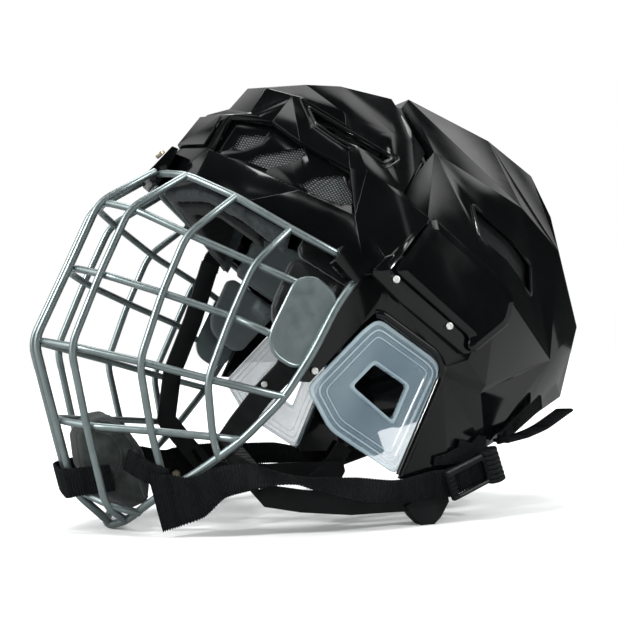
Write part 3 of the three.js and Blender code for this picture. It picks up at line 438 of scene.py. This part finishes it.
def fill_between(bm, outer, inner):
    """Fills the surface between two loops of vertices, one inside the other."""
    edges = [bm.edges.get(pair) for loop in (outer, inner)
             for pair in zip(loop, loop[1:] + loop[:1])]
    bmesh.ops.triangle_fill(bm, edges=edges, use_beauty=True)


# --------------------------------------------------------------------------------------------- cage

BAR = 2.1                           # the radius of a bar,
RIM = 2.3                           # and of the wire round the cage's edge
WIRE_SIDES = 12
DOME_WIDTH = 0.55                   # a wire's domed end: the flat of it, as a share of the wire
DOME_RISE = 0.0008                  # and how far it stands out, in metres
UPRIGHT = 1e-4                      # a wire that starts with less sideways run than this is upright
BEND = 8                            # how far from each corner a bar starts to bend
LEVELS = {
    "top": [(15.5, -97.3, 206.2), (39, -86.5, 201.3), (60.5, -63.7, 186), (76.5, -37.2, 166.3),
            (91, -13.5, 149.6)],
    "brow": [(16, -133.3, 188.2), (38.5, -119.5, 181.3), (60, -92, 164.5), (76, -58.7, 147),
             (88.5, -35, 134)],
    "nose": [(16.5, -151, 150), (40, -137, 144.2), (60.5, -106.6, 132), (75, -72.3, 118.4),
             (88, -55, 109)],
    "mouth": [(17, -170.5, 109), (42, -153.5, 104.7), (63, -120, 95.3), (79, -87, 85.2),
              (91, -48.3, 74.8)],
    "jaw": [(17, -160, 63.7), (38.5, -145.4, 61.1), (56.5, -113.5, 57.9), (73, -83.5, 54.2),
            (82, -69.5, 52.8)],
}
CHIN = [(16, -150.5, 23.4), (38, -136, 17), (38, -117.5, 12)]
ON_CHIN = 2                         # this many of the uprights on each side cross the chin bar
FEET = [(9, -129.6, 2.9), (28, -123.7, 7), (54, -105.5, 26.5), (75, -80.6, 42.8)]
FIRST_TOP = (15.5, -100.1, 207.2)   # where the middle uprights lie over the top bar
EDGE = [(0, -130.5, 2.2), (9, -129.8, 2.25), (28, -123.7, 6.7), (46, -111.5, 19.8),
        (68, -89.5, 36.8), (82, -69.5, 52.8), (91, -48.3, 74.8), (92.5, -32, 98.2),
        (92.7, -17.5, 123.3), (93, -6.6, 136.6)]
BEHIND = 3.3                        # how far a cross bar's middle lies behind the uprights'


def drawn_in(point):
    """The point, moved from the uprights' middles to where a cross bar's middle lies."""
    x, y, z = point
    reach = math.hypot(x, y)
    return (x - BEHIND * x / reach, y - BEHIND * y / reach, z)


def bent(path, reach):
    """The path with each corner rounded from `reach` mm before it to `reach` mm after it."""
    knots = [Vector(p) for p in path]
    line = [knots[0]]
    for before, here, after in zip(knots, knots[1:], knots[2:]):
        line += rounded(before, here, after, reach)
    return [*line, knots[-1]]


def tube(bm, path, radius):
    """A wire through the points, with domed ends."""
    line = [mm(*p) for p in bent(path, BEND)]
    across = Vector((0, 0, 1)).cross(line[1] - line[0])
    if across.length < UPRIGHT:
        across = Vector((1, 0, 0))
    rings = []
    for i, p in enumerate(line):
        along = (line[min(i + 1, len(line) - 1)] - line[max(i - 1, 0)]).normalized()
        across = square_to(across, along)
        rings.append(round_ring(p, across, along.cross(across), radius, WIRE_SIDES))
        if i == 0:
            rings.insert(0, [p + (q - p) * DOME_WIDTH - along * DOME_RISE for q in rings[0]])
    rings.append([p + (q - p) * DOME_WIDTH + along * DOME_RISE for q in rings[-1]])
    skin(bm, rings)


def level_path(points, behind=True):
    """A cross bar from side to side, drawn in behind the uprights but for its ends on the rim."""
    return side_to_side([drawn_in(p) if behind else p for p in points[:-1]] + [points[-1]])


def cage():
    bm = bmesh.new()
    for name, points in LEVELS.items():
        tube(bm, level_path(points, behind=name != "top"), BAR)
    tube(bm, level_path(CHIN), BAR)
    for i, foot in enumerate(FEET):
        path = [points[i] for points in LEVELS.values()]
        if i == 0:
            path[0] = FIRST_TOP
        if i < ON_CHIN:
            path.append(CHIN[i])
        path.append(foot)
        tube(bm, path, BAR)
        tube(bm, mirrored(path), BAR)
    tube(bm, side_to_side(EDGE), RIM)
    finished("cage_look", bm, STEEL, "cage_steel", "cage", smooth_under=60)


# ----------------------------------------------------------------------------------- moulded plates


def ring_of(outline, inset, radius):
    """The outline moved in by `inset`, its corners rounded. All its rings have as many points."""
    flat = [Vector(p) for p in outline]
    turn = sum(a.x * b.y - b.x * a.y for a, b in zip(flat, flat[1:] + flat[:1]))
    inward = 1 if turn > 0 else -1
    moved = []
    for i, p in enumerate(flat):
        before = (p - flat[i - 1]).normalized()
        after = (flat[(i + 1) % len(flat)] - p).normalized()
        n1, n2 = (Vector((-run.y, run.x)) * inward for run in (before, after))
        moved.append(p + (n1 + n2) * inset / (1 + n1.dot(n2)))
    corners = zip(moved[-1:] + moved[:-1], moved, moved[1:] + moved[:1])
    return [q for before, here, after in corners for q in rounded(before, here, after, radius)]


def plate_points(ring, plane, depth, side):
    """A ring of y and z laid `depth` mm under a slanted side plane."""
    def out(y, z):
        slant = plane["back"] * (y - plane["y"])
        return plane["x"] - slant - plane["up"] * (z - plane["z"]) - depth

    return [mm(side * out(p.x, p.y), p.x, p.y) for p in ring]


def moulded_plate(outline, plane, profile, side, window=None, window_profile=()):
    """A plate whose edge runs (inset, depth, corner radius) from its back round to its face."""
    bm = bmesh.new()

    def wall(edge, steps):
        rings = [plate_points(ring_of(edge, inset, radius), plane, depth, side)
                 for inset, depth, radius in steps]
        return skin(bm, rings, closed_ends=False)

    outer = wall(outline, profile)
    if window:
        inner = wall(window, window_profile)
        fill_between(bm, outer[0], inner[0])
        fill_between(bm, outer[-1], inner[-1])
    else:
        bm.faces.new(outer[0])
        bm.faces.new(outer[-1])
    return bm


PLATE_PLANE = {"x": 103, "y": 12, "z": 141.5, "back": 0.137, "up": 0.0288}
PLATE_OUTLINE = [(39.5, 171), (85, 136), (93, 126), (87, 110.5), (62.5, 95), (58, 98), (60, 104),
                 (13.5, 141)]
PLATE_PROFILE = [(0.4, 3, 2.5), (0, 2.4, 3), (0, 1.7, 3), (0.5, 1.1, 3), (3.2, 0.25, 3),
                 (4.0, 0, 3)]
GUARD_PLANE = {"x": 89.3, "y": -40, "z": 79, "back": -0.0344, "up": -0.0675}
GUARD_OUTLINE = [(-35, 79), (-2, 110), (6.5, 115.5), (40, 92), (43.8, 84), (16, 29), (-22, 55.5)]
GUARD_WINDOW = [(-9, 79), (14, 59), (23, 78), (4, 91)]
GUARD_PROFILE = [(0.5, 2.6, 5), (0, 2.1, 5), (0, 0.5, 5), (0.5, 0, 5), (1.7, 0, 5), (2.2, 0.9, 5),
                 (3.6, 0.9, 5), (4.1, 0.3, 5), (5.0, 0.3, 4.5), (5.5, 1.0, 4.5), (7.2, 1.0, 4.5),
                 (7.7, 0.5, 4), (8.4, 0.5, 4), (8.9, 1.1, 4), (9.6, 1.1, 4)]
GUARD_RAISED = (1, 2, 3, 4, 7, 11)  # the bands of the profiles that the pale borders cover
WINDOW_RAISED = (1, 2, 3, 4)
WINDOW_PROFILE = [(0.4, 2.6, 2.5), (0, 2.2, 2.5), (0, 0.4, 2.5), (-0.4, 0, 2.5), (-1.3, 0, 3),
                  (-1.8, 1.0, 3), (-2.8, 1.1, 3)]
TEMPLE_PLANE = {"x": 90.6, "y": -37, "z": 114.5, "back": -0.06, "up": 0}
TEMPLE_OUTLINE = [(-40, 138), (-29, 139.5), (-17.5, 130), (-17, 120), (-32, 92.5), (-42, 89),
                  (-54, 97), (-56, 108)]
TEMPLE_PROFILE = [(0.4, 2, 5), (0, 1.6, 5.5), (0, 0.5, 5.5), (0.6, 0, 5.5), (1.3, 0, 5.5),
                  (1.8, 0.25, 5.5)]


def paint_borders(guard):
    """Gives a guard's raised bands the border's material. Its faces come band by band."""
    guard.data.materials.append(GUARD_BORDER)
    pale = []
    for profile, outline, raised in ((GUARD_PROFILE, GUARD_OUTLINE, GUARD_RAISED),
                                     (WINDOW_PROFILE, GUARD_WINDOW, WINDOW_RAISED)):
        for band in range(len(profile) - 1):
            pale += [band in raised] * len(outline) * (CORNER_STEPS + 1)
    for face, is_pale in zip(guard.data.polygons, pale):
        face.material_index = int(is_pale)


def plates():
    for side, word in SIDES:
        bm = moulded_plate(PLATE_OUTLINE, PLATE_PLANE, PLATE_PROFILE, side)
        finished("side_plate_look_" + word, bm, GLOSS, "shell_gloss", "side_plate_" + word,
                 smooth_under=14)
        bm = moulded_plate(GUARD_OUTLINE, GUARD_PLANE, GUARD_PROFILE, side, GUARD_WINDOW,
                           WINDOW_PROFILE)
        guard = finished("ear_guard_look_" + word, bm, GUARD, "guard_clear", "ear_guard_" + word,
                         smooth_under=20)
        paint_borders(guard)
        bm = moulded_plate(TEMPLE_OUTLINE, TEMPLE_PLANE, TEMPLE_PROFILE, side)
        finished("temple_plate_look_" + word, bm, STEEL, "cage_steel", smooth_under=20)


# ------------------------------------------------------------------------------------ ladder buckle

# The buckle's own axes run along the web, up, and out from the helmet's side. Its outlines are in
# the first two, and its edges are in (inset, way out, corner radius).
BUCKLE_AT = Vector((92.7, 47.5, 22))
BUCKLE_ALONG = Vector((-0.17, 0.94, 0.3)).normalized()
BUCKLE_OUT = BUCKLE_ALONG.cross(Vector((0, -0.1, 1)).normalized()).normalized()
BUCKLE_UP = BUCKLE_OUT.cross(BUCKLE_ALONG)
BUCKLE_FRAME = [(-2.8, -8.7), (28.6, -8.7), (28.6, 8.7), (-2.8, 8.7)]
BUCKLE_WINDOW = [(1.6, -6.6), (24, -6.6), (24, 4.9), (1.6, 4.9)]
BUCKLE_EDGE = [(0.5, -1.3, 1.2), (0, -0.8, 1.5), (0, 0.9, 1.5), (0.8, 1.6, 1.2)]
BARREL_AT = 29.7
BARREL_HALF = 9.75
BARREL_RIBS = 7
# one rib of the barrel: how far along it, as a share, and the radius there
BARREL_RIB = [(0, 4.7), (0.08, 4.7), (0.13, 5.45), (0.3, 5.6), (0.7, 5.6), (0.87, 5.45),
              (0.92, 4.7)]
BARREL_SIDES = 28
TREADS = 6                          # ribs on the buckle's front bar
TREAD_PITCH = 2.45
TREAD_RIB = [(-2.9, -0.6), (1.4, -0.6), (1.4, 0.6), (-2.9, 0.6)]
TREAD_EDGE = [(0, 1.2, 0.3), (0, 2.3, 0.3), (0.3, 2.7, 0.2)]


def ladder_buckle(side):
    """The frame with its window, the ribs on its front bar, and the barrel the web goes round."""
    bm = bmesh.new()

    def laid(points):
        placed = [BUCKLE_AT + BUCKLE_ALONG * p + BUCKLE_UP * q + BUCKLE_OUT * d
                  for p, q, d in points]
        return [mm(x * side, y, z) for x, y, z in placed]

    def rings(outline, edge, shift=0.0):
        return [laid([(v.x, v.y + shift, depth) for v in ring_of(outline, inset, radius)])
                for inset, depth, radius in edge]

    outer = skin(bm, rings(BUCKLE_FRAME, BUCKLE_EDGE), closed_ends=False)
    inner = skin(bm, rings(BUCKLE_WINDOW, [(-i, d, r) for i, d, r in BUCKLE_EDGE]),
                 closed_ends=False)
    fill_between(bm, outer[0], inner[0])
    fill_between(bm, outer[-1], inner[-1])
    for n in range(TREADS):
        skin(bm, rings(TREAD_RIB, TREAD_EDGE, TREAD_PITCH * (n - (TREADS - 1) / 2)))
    turns = [math.tau * k / BARREL_SIDES for k in range(BARREL_SIDES)]
    pitch = 2 * BARREL_HALF / BARREL_RIBS
    barrel = []
    for n in range(BARREL_RIBS):
        for t, radius in BARREL_RIB:
            height = (n + t) * pitch - BARREL_HALF
            barrel.append(laid([(BARREL_AT + math.cos(a) * radius, height, math.sin(a) * radius)
                                for a in turns]))
    skin(bm, barrel)
    return bm


def buckles():
    for side, word in SIDES:
        finished("ladder_buckle_look_" + word, ladder_buckle(side), SATIN, "trim_matte",
                 "ladder_buckle_" + word, smooth_under=40)


# -------------------------------------------------------------------------------------------- beads

CROWN_RIM = [(-10.5, 241), (-9.5, 233), (-1, 224.5), (22, 206.5), (27, 209.5)]
CROWN_SLOT = [(-7, 236), (-4, 230), (21, 210.5), (24, 212.5)]
SIDE_VENT = [(79, 180), (124, 148), (122, 131), (79, 162)]
EAR_LIP = [(-33, 82), (4, 118), (8.5, 118), (42.3, 94.2), (45.4, 84.5), (17.5, 28), (11, 12)]
BEAD_SIDES = 8
BEAD_CORNER = 3                     # the radius of a bead's corners
LIP_RADIUS = 2.4
LIP_BEND = 6
LIP_BACK = 1                        # the lip is cast onto the shell this far behind its line,
LIP_SHIFT = 2                       # and then leans this far forward into the opening
OUTSIDE = 200                       # well clear of the helmet's side


def surface_of(mesh):
    """The mesh as a tree that rays can be cast at."""
    corners = [list(p.vertices) for p in mesh.polygons]
    return BVHTree.FromPolygons([v.co.copy() for v in mesh.vertices], corners)


def on_surface(tree, y, z, side):
    """The outermost point of a surface at that y and z, in the frame's metres."""
    start = mm(side * OUTSIDE, y, z)
    return tree.ray_cast(start, Vector((-side, 0, 0)))[0]


def bead(bm, line, radius, closed):
    """A round bead through points of the frame."""
    rings = []
    for i, p in enumerate(line):
        before = line[i - 1] if closed or i else p
        after = line[(i + 1) % len(line)] if closed or i + 1 < len(line) else p
        along = (after - before).normalized()
        out = square_to(Vector((1, 0, 0)), along)
        rings.append(round_ring(p, out, along.cross(out), radius, BEAD_SIDES))
    skin(bm, rings + rings[:1] if closed else rings, closed_ends=not closed)
    bmesh.ops.remove_doubles(bm, verts=bm.verts, dist=1e-6)


def beads():
    """The raised lines round the vents, and the lip of the shell round each ear."""
    for side, word in SIDES:
        bm = bmesh.new()
        for node, outline, inset, radius in (("shell_front", CROWN_RIM, -1.5, 1.0),
                                             ("shell_front", CROWN_RIM, -4.2, 0.6),
                                             ("crown_vent_" + word, CROWN_SLOT, -1.3, 0.7),
                                             ("shell_rear", SIDE_VENT, -1.6, 1.0)):
            tree = surface_of(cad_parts[node].data)
            ring = [on_surface(tree, p.x, p.y, side) for p in ring_of(outline, inset, BEAD_CORNER)]
            bead(bm, [p for p in ring if p], radius, closed=True)
        tree = surface_of(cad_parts["shell_rear"].data)
        forward = mm(0, -LIP_SHIFT, 0) - mm(0, 0, 0)
        path = bent([(y, z, 0) for y, z in EAR_LIP], LIP_BEND)
        lip = [on_surface(tree, p.x + LIP_BACK, p.y, side) for p in path]
        bead(bm, [p + forward for p in lip if p], LIP_RADIUS, closed=False)
        finished("rim_beads_" + word, bm, GLOSS, "shell_gloss", smooth_under=60)


# ------------------------------------------------------------------------------------------ webbing

WEB_THICK = 2
RIB = 1.5                           # pitch of the ribs woven across the web


def on_side(stations, side):
    """A web's stations, mirrored where side is -1: a point, the way its face looks, its width."""
    return [((x * side, y, z), (fx * side, fy, fz), w) for (x, y, z), (fx, fy, fz), w in stations]


REAR = [((90.8, 37, 22.6), (1, 0.1, 0), 16), ((90.2, 45, 22.7), (1, 0.15, 0), 16),
        ((89.2, 52, 24.2), (1, 0.2, 0), 16), ((87.3, 62, 27), (1, 0.2, 0), 16),
        ((85.2, 74, 30.8), (1, 0.2, 0), 16)]
LEFT_CUP_END = [((38, -124, 42), (0.7, -0.7, 0), 12), ((45, -120, 39), (0.6, -0.8, 0), 12.5),
                ((52, -114, 35.5), (0.7, -0.65, -0.1), 12.5),
                ((60, -106, 32), (0.75, -0.6, -0.1), 12)]
LEFT_STRAP = [((56, -111.6, 19.4), (0.75, -0.6, -0.2), 33),
              ((62, -103.5, 21), (0.8, -0.55, -0.1), 29.5), ((71, -92, 23), (0.88, -0.45, 0), 22.5),
              ((78, -81.9, 30.5), (0.92, -0.4, 0.1), 17.5),
              ((84, -68.7, 33.4), (0.9, -0.25, 0.35), 16),
              ((89, -54.6, 32.5), (0.35, -0.05, 0.94), 16),
              ((91.5, -43.9, 31), (0.15, 0, 0.99), 16), ((91.5, -32, 27.7), (0.35, 0, 0.94), 16),
              ((91.6, -8, 23), (0.8, 0, 0.6), 16), ((91.9, 14.4, 20.6), (1, 0, 0.15), 13), *REAR]
RIGHT_STRAP = [((-36, -122, 39), (-0.7, -0.7, 0), 14), ((-45, -110, 36), (-0.75, -0.65, 0), 14),
               ((-52, -100, 34.5), (-0.8, -0.6, 0), 12), ((-59, -91, 29), (-0.8, -0.6, 0), 18),
               ((-65, -84, 24.5), (-0.85, -0.53, 0), 24), ((-70, -76, 24), (-0.87, -0.5, 0), 26),
               ((-76.5, -64, 27), (-0.9, -0.4, 0), 22), ((-82, -48, 28.5), (-0.95, -0.3, 0), 18),
               ((-87.5, -30, 28), (-1, -0.1, 0), 16), ((-91.6, 0, 27), (-1, 0, 0), 15),
               ((-91.9, 20, 23.2), (-1, 0.05, 0), 14),
               *on_side(REAR, -1)]
BAND_HALF = [(0, -157, 28.8), (18.5, -156.6, 28.8), (22.5, -154.5, 29.3), (27, -146, 30.5),
             (33, -131.5, 32)]
BAND = [(p, (0, -0.97, -0.23), 17) for p in side_to_side(BAND_HALF)]
EAR_LOOP_END = [((-63, -50.5, 155), (-1, 0, 0), 12.6), ((-62.8, -47.5, 163), (-1, 0, 0), 12.6),
                ((-62, -40, 170), (-1, 0, 0), 12.6), ((-60, -30, 176), (-1, 0, 0), 12.6)]
TAIL_FLAT = [((84, 84, 43.6), (0, -0.2, 1), 16), ((82.8, 98, 45.8), (0, -0.25, 1), 16),
             ((81.5, 111.5, 49.8), (0, -0.35, 1), 16), ((79, 130.5, 59), (0, -0.5, 1), 16)]
TAIL_TURNED = [((79.5, 85, 44.2), (0.84, 0.5, -0.2), 6), ((74.5, 90.5, 45), (0.84, 0.5, -0.2), 8),
               ((67, 102.4, 49.4), (0.84, 0.5, -0.2), 8),
               ((54.6, 129.8, 63.1), (0.84, 0.5, -0.2), 10)]


def rails(stations):
    """The two edges of a web and its face's normal at each station, with its bends mitred."""
    points = [Vector(p) for p, _, _ in stations]
    runs = [(b - a).normalized() for a, b in zip(points, points[1:])]
    made = []
    for i, (_, face, width) in enumerate(stations):
        along = (runs[max(i - 1, 0)] + runs[min(i, len(runs) - 1)]).normalized()
        normal = square_to(Vector(face), along)
        half = along.cross(normal) * width / 2
        made.append((points[i] + half, points[i] - half, normal))
    return made


# a web's section, as shares of its half width and half depth
SECTION = [(-1, 0), (-0.97, 0.6), (-0.88, 0.93), (-0.45, 1), (0, 1), (0.45, 1), (0.88, 0.93),
           (0.97, 0.6), (1, 0), (0.97, -0.6), (0.88, -0.93), (0.45, -1), (0, -1), (-0.45, -1),
           (-0.88, -0.93), (-0.97, -0.6)]
TOOTH = (0.5, -0.1, -0.4)           # how one rib rises and falls over its steps
TOOTH_OUT, TOOTH_BACK = 0.07, 0.02  # a rib's reach at the web's edge, as shares of the half width
RIB_RISE, RIB_SINK = 0.42, 0.1      # its rise from the web's face, in mm, and how deep it is set


def ribbon(bm, stations):
    """A woven web through the stations, ribbed across, with toothed edges."""
    left, right, normals = zip(*rails(stations))
    middles = [(a + b) / 2 for a, b in zip(left, right)]
    rings = []
    for n, (_, at) in enumerate(spline(middles, RIB / len(TOOTH))):
        i = min(int(at), len(stations) - 2)
        t = at - i
        a, b = on_curve(left, i, t), on_curve(right, i, t)
        normal = normals[i].lerp(normals[i + 1], t)
        across = b - a
        normal = (normal - across * normal.dot(across) / across.length_squared).normalized()
        rib = TOOTH[n % len(TOOTH)]
        half = (across / 2) * (1 + rib * TOOTH_OUT - TOOTH_BACK)
        depth = WEB_THICK / 2 + rib * RIB_RISE - RIB_SINK
        middle = (a + b) / 2
        rings.append([mm(*(middle + half * s + normal * d * depth)) for s, d in SECTION])
    skin(bm, rings)


def web_piece(name, node, *runs, side=1):
    """One piece made of one or more webs."""
    bm = bmesh.new()
    for run in runs:
        ribbon(bm, on_side(run, side))
    finished(name, bm, WEB, "webbing", node, smooth_under=50)


def webs():
    web_piece("chin_strap_look_left", "chin_strap_left", LEFT_CUP_END, LEFT_STRAP)
    web_piece("chin_strap_look_right", "chin_strap_right", RIGHT_STRAP)
    web_piece("chin_band_look", "chin_band", BAND)
    web_piece("ear_loop_end_right", None, EAR_LOOP_END)
    for side, word in SIDES:
        web_piece("strap_tail_look_" + word, "strap_tail_" + word, TAIL_FLAT, TAIL_TURNED,
                  side=side)
        edged("strap_anchor_" + word, WEB, "webbing", width=0.5)


# --------------------------------------------------------------------------------- the cup's piping

CUP_LINES = [                       # y and z along a line of piping, and its radius
    ([(-137, 62.5), (-131, 61.5), (-124, 57), (-119.5, 50), (-118, 42), (-117, 33), (-115, 25),
      (-113, 20)], 1.2),
    ([(-139, 57), (-132, 55), (-127, 49), (-126, 41), (-129, 33), (-133, 28)], 0.7),
]
PIPING_STEP = 1.0


def cup_piping():
    """The piped seam round each side of the chin cup, and the stitched edge of its front panel."""
    tree = surface_of(bpy.data.objects["chin_cup_look"].data)
    bm = bmesh.new()
    for side, _ in SIDES:
        for points, radius in CUP_LINES:
            path = spline([(y, z, 0) for y, z in points], PIPING_STEP)
            line = [on_surface(tree, p.x, p.y, side) for p, _ in path]
            bead(bm, [p for p in line if p], radius, closed=False)
    finished("cup_piping", bm, SUEDE, "cup_suede", smooth_under=60)


# --------------------------------------------------------------------------------------- the helmet

HARD = {                            # start of a node's name: material, slot, mm of rounded edge
    "shell_front": (GLOSS, "shell_gloss", 0.9), "shell_rear": (GLOSS, "shell_gloss", 0.9),
    "vent_frame": (GLOSS, "shell_gloss", 0.4), "crown_vent": (SATIN, "trim_matte", 0.4),
    "badge_plate": (GLOSS, "shell_gloss", 0.5), "forehead_clip": (GLOSS, "shell_gloss", 0.5),
    "side_clip": (GLOSS, "shell_gloss", 0.5), "ear_loop": (RIBBED, "trim_matte", 0.6),
    "vent_mesh": (MESH, "vent_mesh", 0.1),
    "clip_screw": (BRASS, "brass", 0.5), "strap_snap": (BRASS, "brass", 0.5),
    "plate_rivet": (RIVET, "rivet_white", 0.5), "guard_rivet": (RIVET, "rivet_white", 0.4),
    "loop_rivet": (RIVET, "rivet_white", 0.4),
}
SOFT = {                            # the same: material, slot, voxel in mm, relaxing rounds, fill
    "brow_liner": (FOAM_SMOKE, "foam_grey", 1.6, 6, 0.9),
    "forehead_pad": (FOAM_BLACK, "foam_black", 1.6, 8, 0.8),
    "crown_liner": (FOAM_SMOKE, "foam_grey", 2.0, 6, 0.9),
    "rear_liner": (FOAM_BLACK, "foam_black", 2.6, 6, 0.9),
    "lower_pad": (FOAM_PAD, "foam_grey", 1.4, 8, 0.85),
    "upper_pad": (FOAM_PAD, "foam_grey", 1.4, 8, 0.85),
    "chin_cup": (SUEDE, "cup_suede", 1.2, 22, 0.8),
}


def dress(table, make):
    """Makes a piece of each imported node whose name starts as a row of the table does."""
    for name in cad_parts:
        for start, values in table.items():
            if name.startswith(start):
                make(name, *values)


cage()
plates()
buckles()
beads()
webs()
dress(HARD, edged)
dress(SOFT, soft)
cup_piping()

# ---------------------------------------------------------------------------------- floor and light

FLOOR_RADIUS = 9.0
LIT = Vector((0, 0, 0.13))          # where the small lights point
FLOOR_IN_GLOSS = 0.27               # how bright gloss sees the floor, as a share of what it is


def floor():
    bm = bmesh.new()
    bmesh.ops.create_circle(bm, cap_ends=True, radius=FLOOR_RADIUS, segments=64)
    mesh = bpy.data.meshes.new("floor")
    bm.to_mesh(mesh)
    bm.free()
    piece = bpy.data.objects.new("floor", mesh)
    bpy.context.collection.objects.link(piece)
    s = Surface("floor_paint", Roughness=0.85, Specular_IOR_Level=0.2)
    pale = s.colour(s.noise(3, 2), (0.92, 0.93, 0.93), (0.95, 0.96, 0.96))
    gloss_ray = s.nodes.new("ShaderNodeLightPath").outputs["Is Glossy Ray"]
    seen = s.add("VectorMath", Vector=pale)
    seen.operation = "SCALE"
    s.links.new(s.between(gloss_ray, 1.0, FLOOR_IN_GLOSS, 0.0, 1.0), seen.inputs["Scale"])
    s.drive("Base Color", seen.outputs[0])
    mesh.materials.append(s.material)


def heading(azimuth, elevation):
    """The direction this many degrees round from +X towards +Y, and this many up."""
    a, e = math.radians(azimuth), math.radians(elevation)
    return Vector((math.cos(a) * math.cos(e), math.sin(a) * math.cos(e), math.sin(e)))


def area_light(name, at, size, power):
    data = bpy.data.lights.new(name, "AREA")
    data.size = size
    data.energy = power
    light = bpy.data.objects.new(name, data)
    light.location = at
    light.rotation_euler = (LIT - Vector(at)).to_track_quat("-Z", "Y").to_euler()
    bpy.context.collection.objects.link(light)


def sun(strength, spread, direction):
    """The broad light overhead, which lies `spread` degrees across in that direction."""
    data = bpy.data.lights.new("sky_panel", "SUN")
    data.energy = strength
    data.angle = math.radians(spread)
    light = bpy.data.objects.new("sky_panel", data)
    light.rotation_euler = direction.to_track_quat("Z", "Y").to_euler()
    bpy.context.collection.objects.link(light)


PANELS = [                          # azimuth, elevation, full out to, gone by (degrees), brightness
    (73.5, 45, 8, 14, 3.2),         # the rear shell's upper strip mirrors these two
    (50, 25, 10, 15, 3.2),
    (120, 32, 9, 20, 0.75),         # the rear shell's wedge beside the strip
    (98, 69, 4, 10, 1.8),           # the crown's side
    (0, 76, 5, 9, 3.4),             # the crown's front
    (-28, 56, 2.5, 6, 9.0),         # only rounded edges of brow and crown mirror these two
    (52, 57, 2.5, 5, 9.0),
    (-141, 41, 5, 12, 0.9),         # the forehead beside the badge
    (-90, 28, 22, 36, 2.2),         # the cage mirrors this one, and no facet of the near side
]
DARK = 0.035                        # the rest of the room, as gloss sees it
BEYOND = 0.45                       # the far side of the room, past the helmet,
BEYOND_FROM, BEYOND_FULL = 0.62, 0.95  # which comes up between these cosines of the angle from -X
DAYLIGHT = 0.8                      # the even light that falls on everything matt


def studio():
    """A world that is white to the camera, even to what is matt, and a dark room to gloss."""
    world = bpy.data.worlds.new("studio")
    world.use_nodes = True
    bpy.context.scene.world = world
    nodes, links = world.node_tree.nodes, world.node_tree.links
    direction = nodes.new("ShaderNodeTexCoord").outputs["Generated"]

    def fade(value, start, end, high):
        """From 0 at start to `high` at end, and level beyond them."""
        node = nodes.new("ShaderNodeMapRange")
        node.interpolation_type = "SMOOTHSTEP"
        links.new(value, node.inputs["Value"])
        for name, number in (("From Min", start), ("From Max", end), ("To Min", 0.0),
                             ("To Max", high)):
            node.inputs[name].default_value = number
        return node.outputs[0]

    def both(operation, first, second):
        node = nodes.new("ShaderNodeMath")
        node.operation = operation
        for socket, value in zip(node.inputs, (first, second)):
            if isinstance(value, float):
                socket.default_value = value
            else:
                links.new(value, socket)
        return node.outputs[0]

    def towards(azimuth, elevation):
        node = nodes.new("ShaderNodeVectorMath")
        node.operation = "DOT_PRODUCT"
        links.new(direction, node.inputs[0])
        node.inputs[1].default_value = heading(azimuth, elevation)
        return node.outputs["Value"]

    room = both("ADD", DARK, fade(towards(180, 0), BEYOND_FROM, BEYOND_FULL, BEYOND))
    for azimuth, elevation, full, gone, brightness in PANELS:
        edge, core = math.cos(math.radians(gone)), math.cos(math.radians(full))
        room = both("ADD", room, fade(towards(azimuth, elevation), edge, core, brightness))
    ray = nodes.new("ShaderNodeLightPath").outputs
    room = both("MAXIMUM", room, both("MULTIPLY", ray["Is Diffuse Ray"], DAYLIGHT))
    links.new(both("MAXIMUM", room, ray["Is Camera Ray"]), nodes["Background"].inputs["Strength"])
    nodes["Background"].inputs["Color"].default_value = (1, 1, 1, 1)


floor()
studio()
sun(1.9, 34, heading(168, 62))
area_light("key", (0.6, -1.85, 1.25), 0.16, 26)
area_light("side", (1.5, 0.87, 1.33), 0.14, 18)
bpy.context.scene.view_settings.view_transform = "Standard"
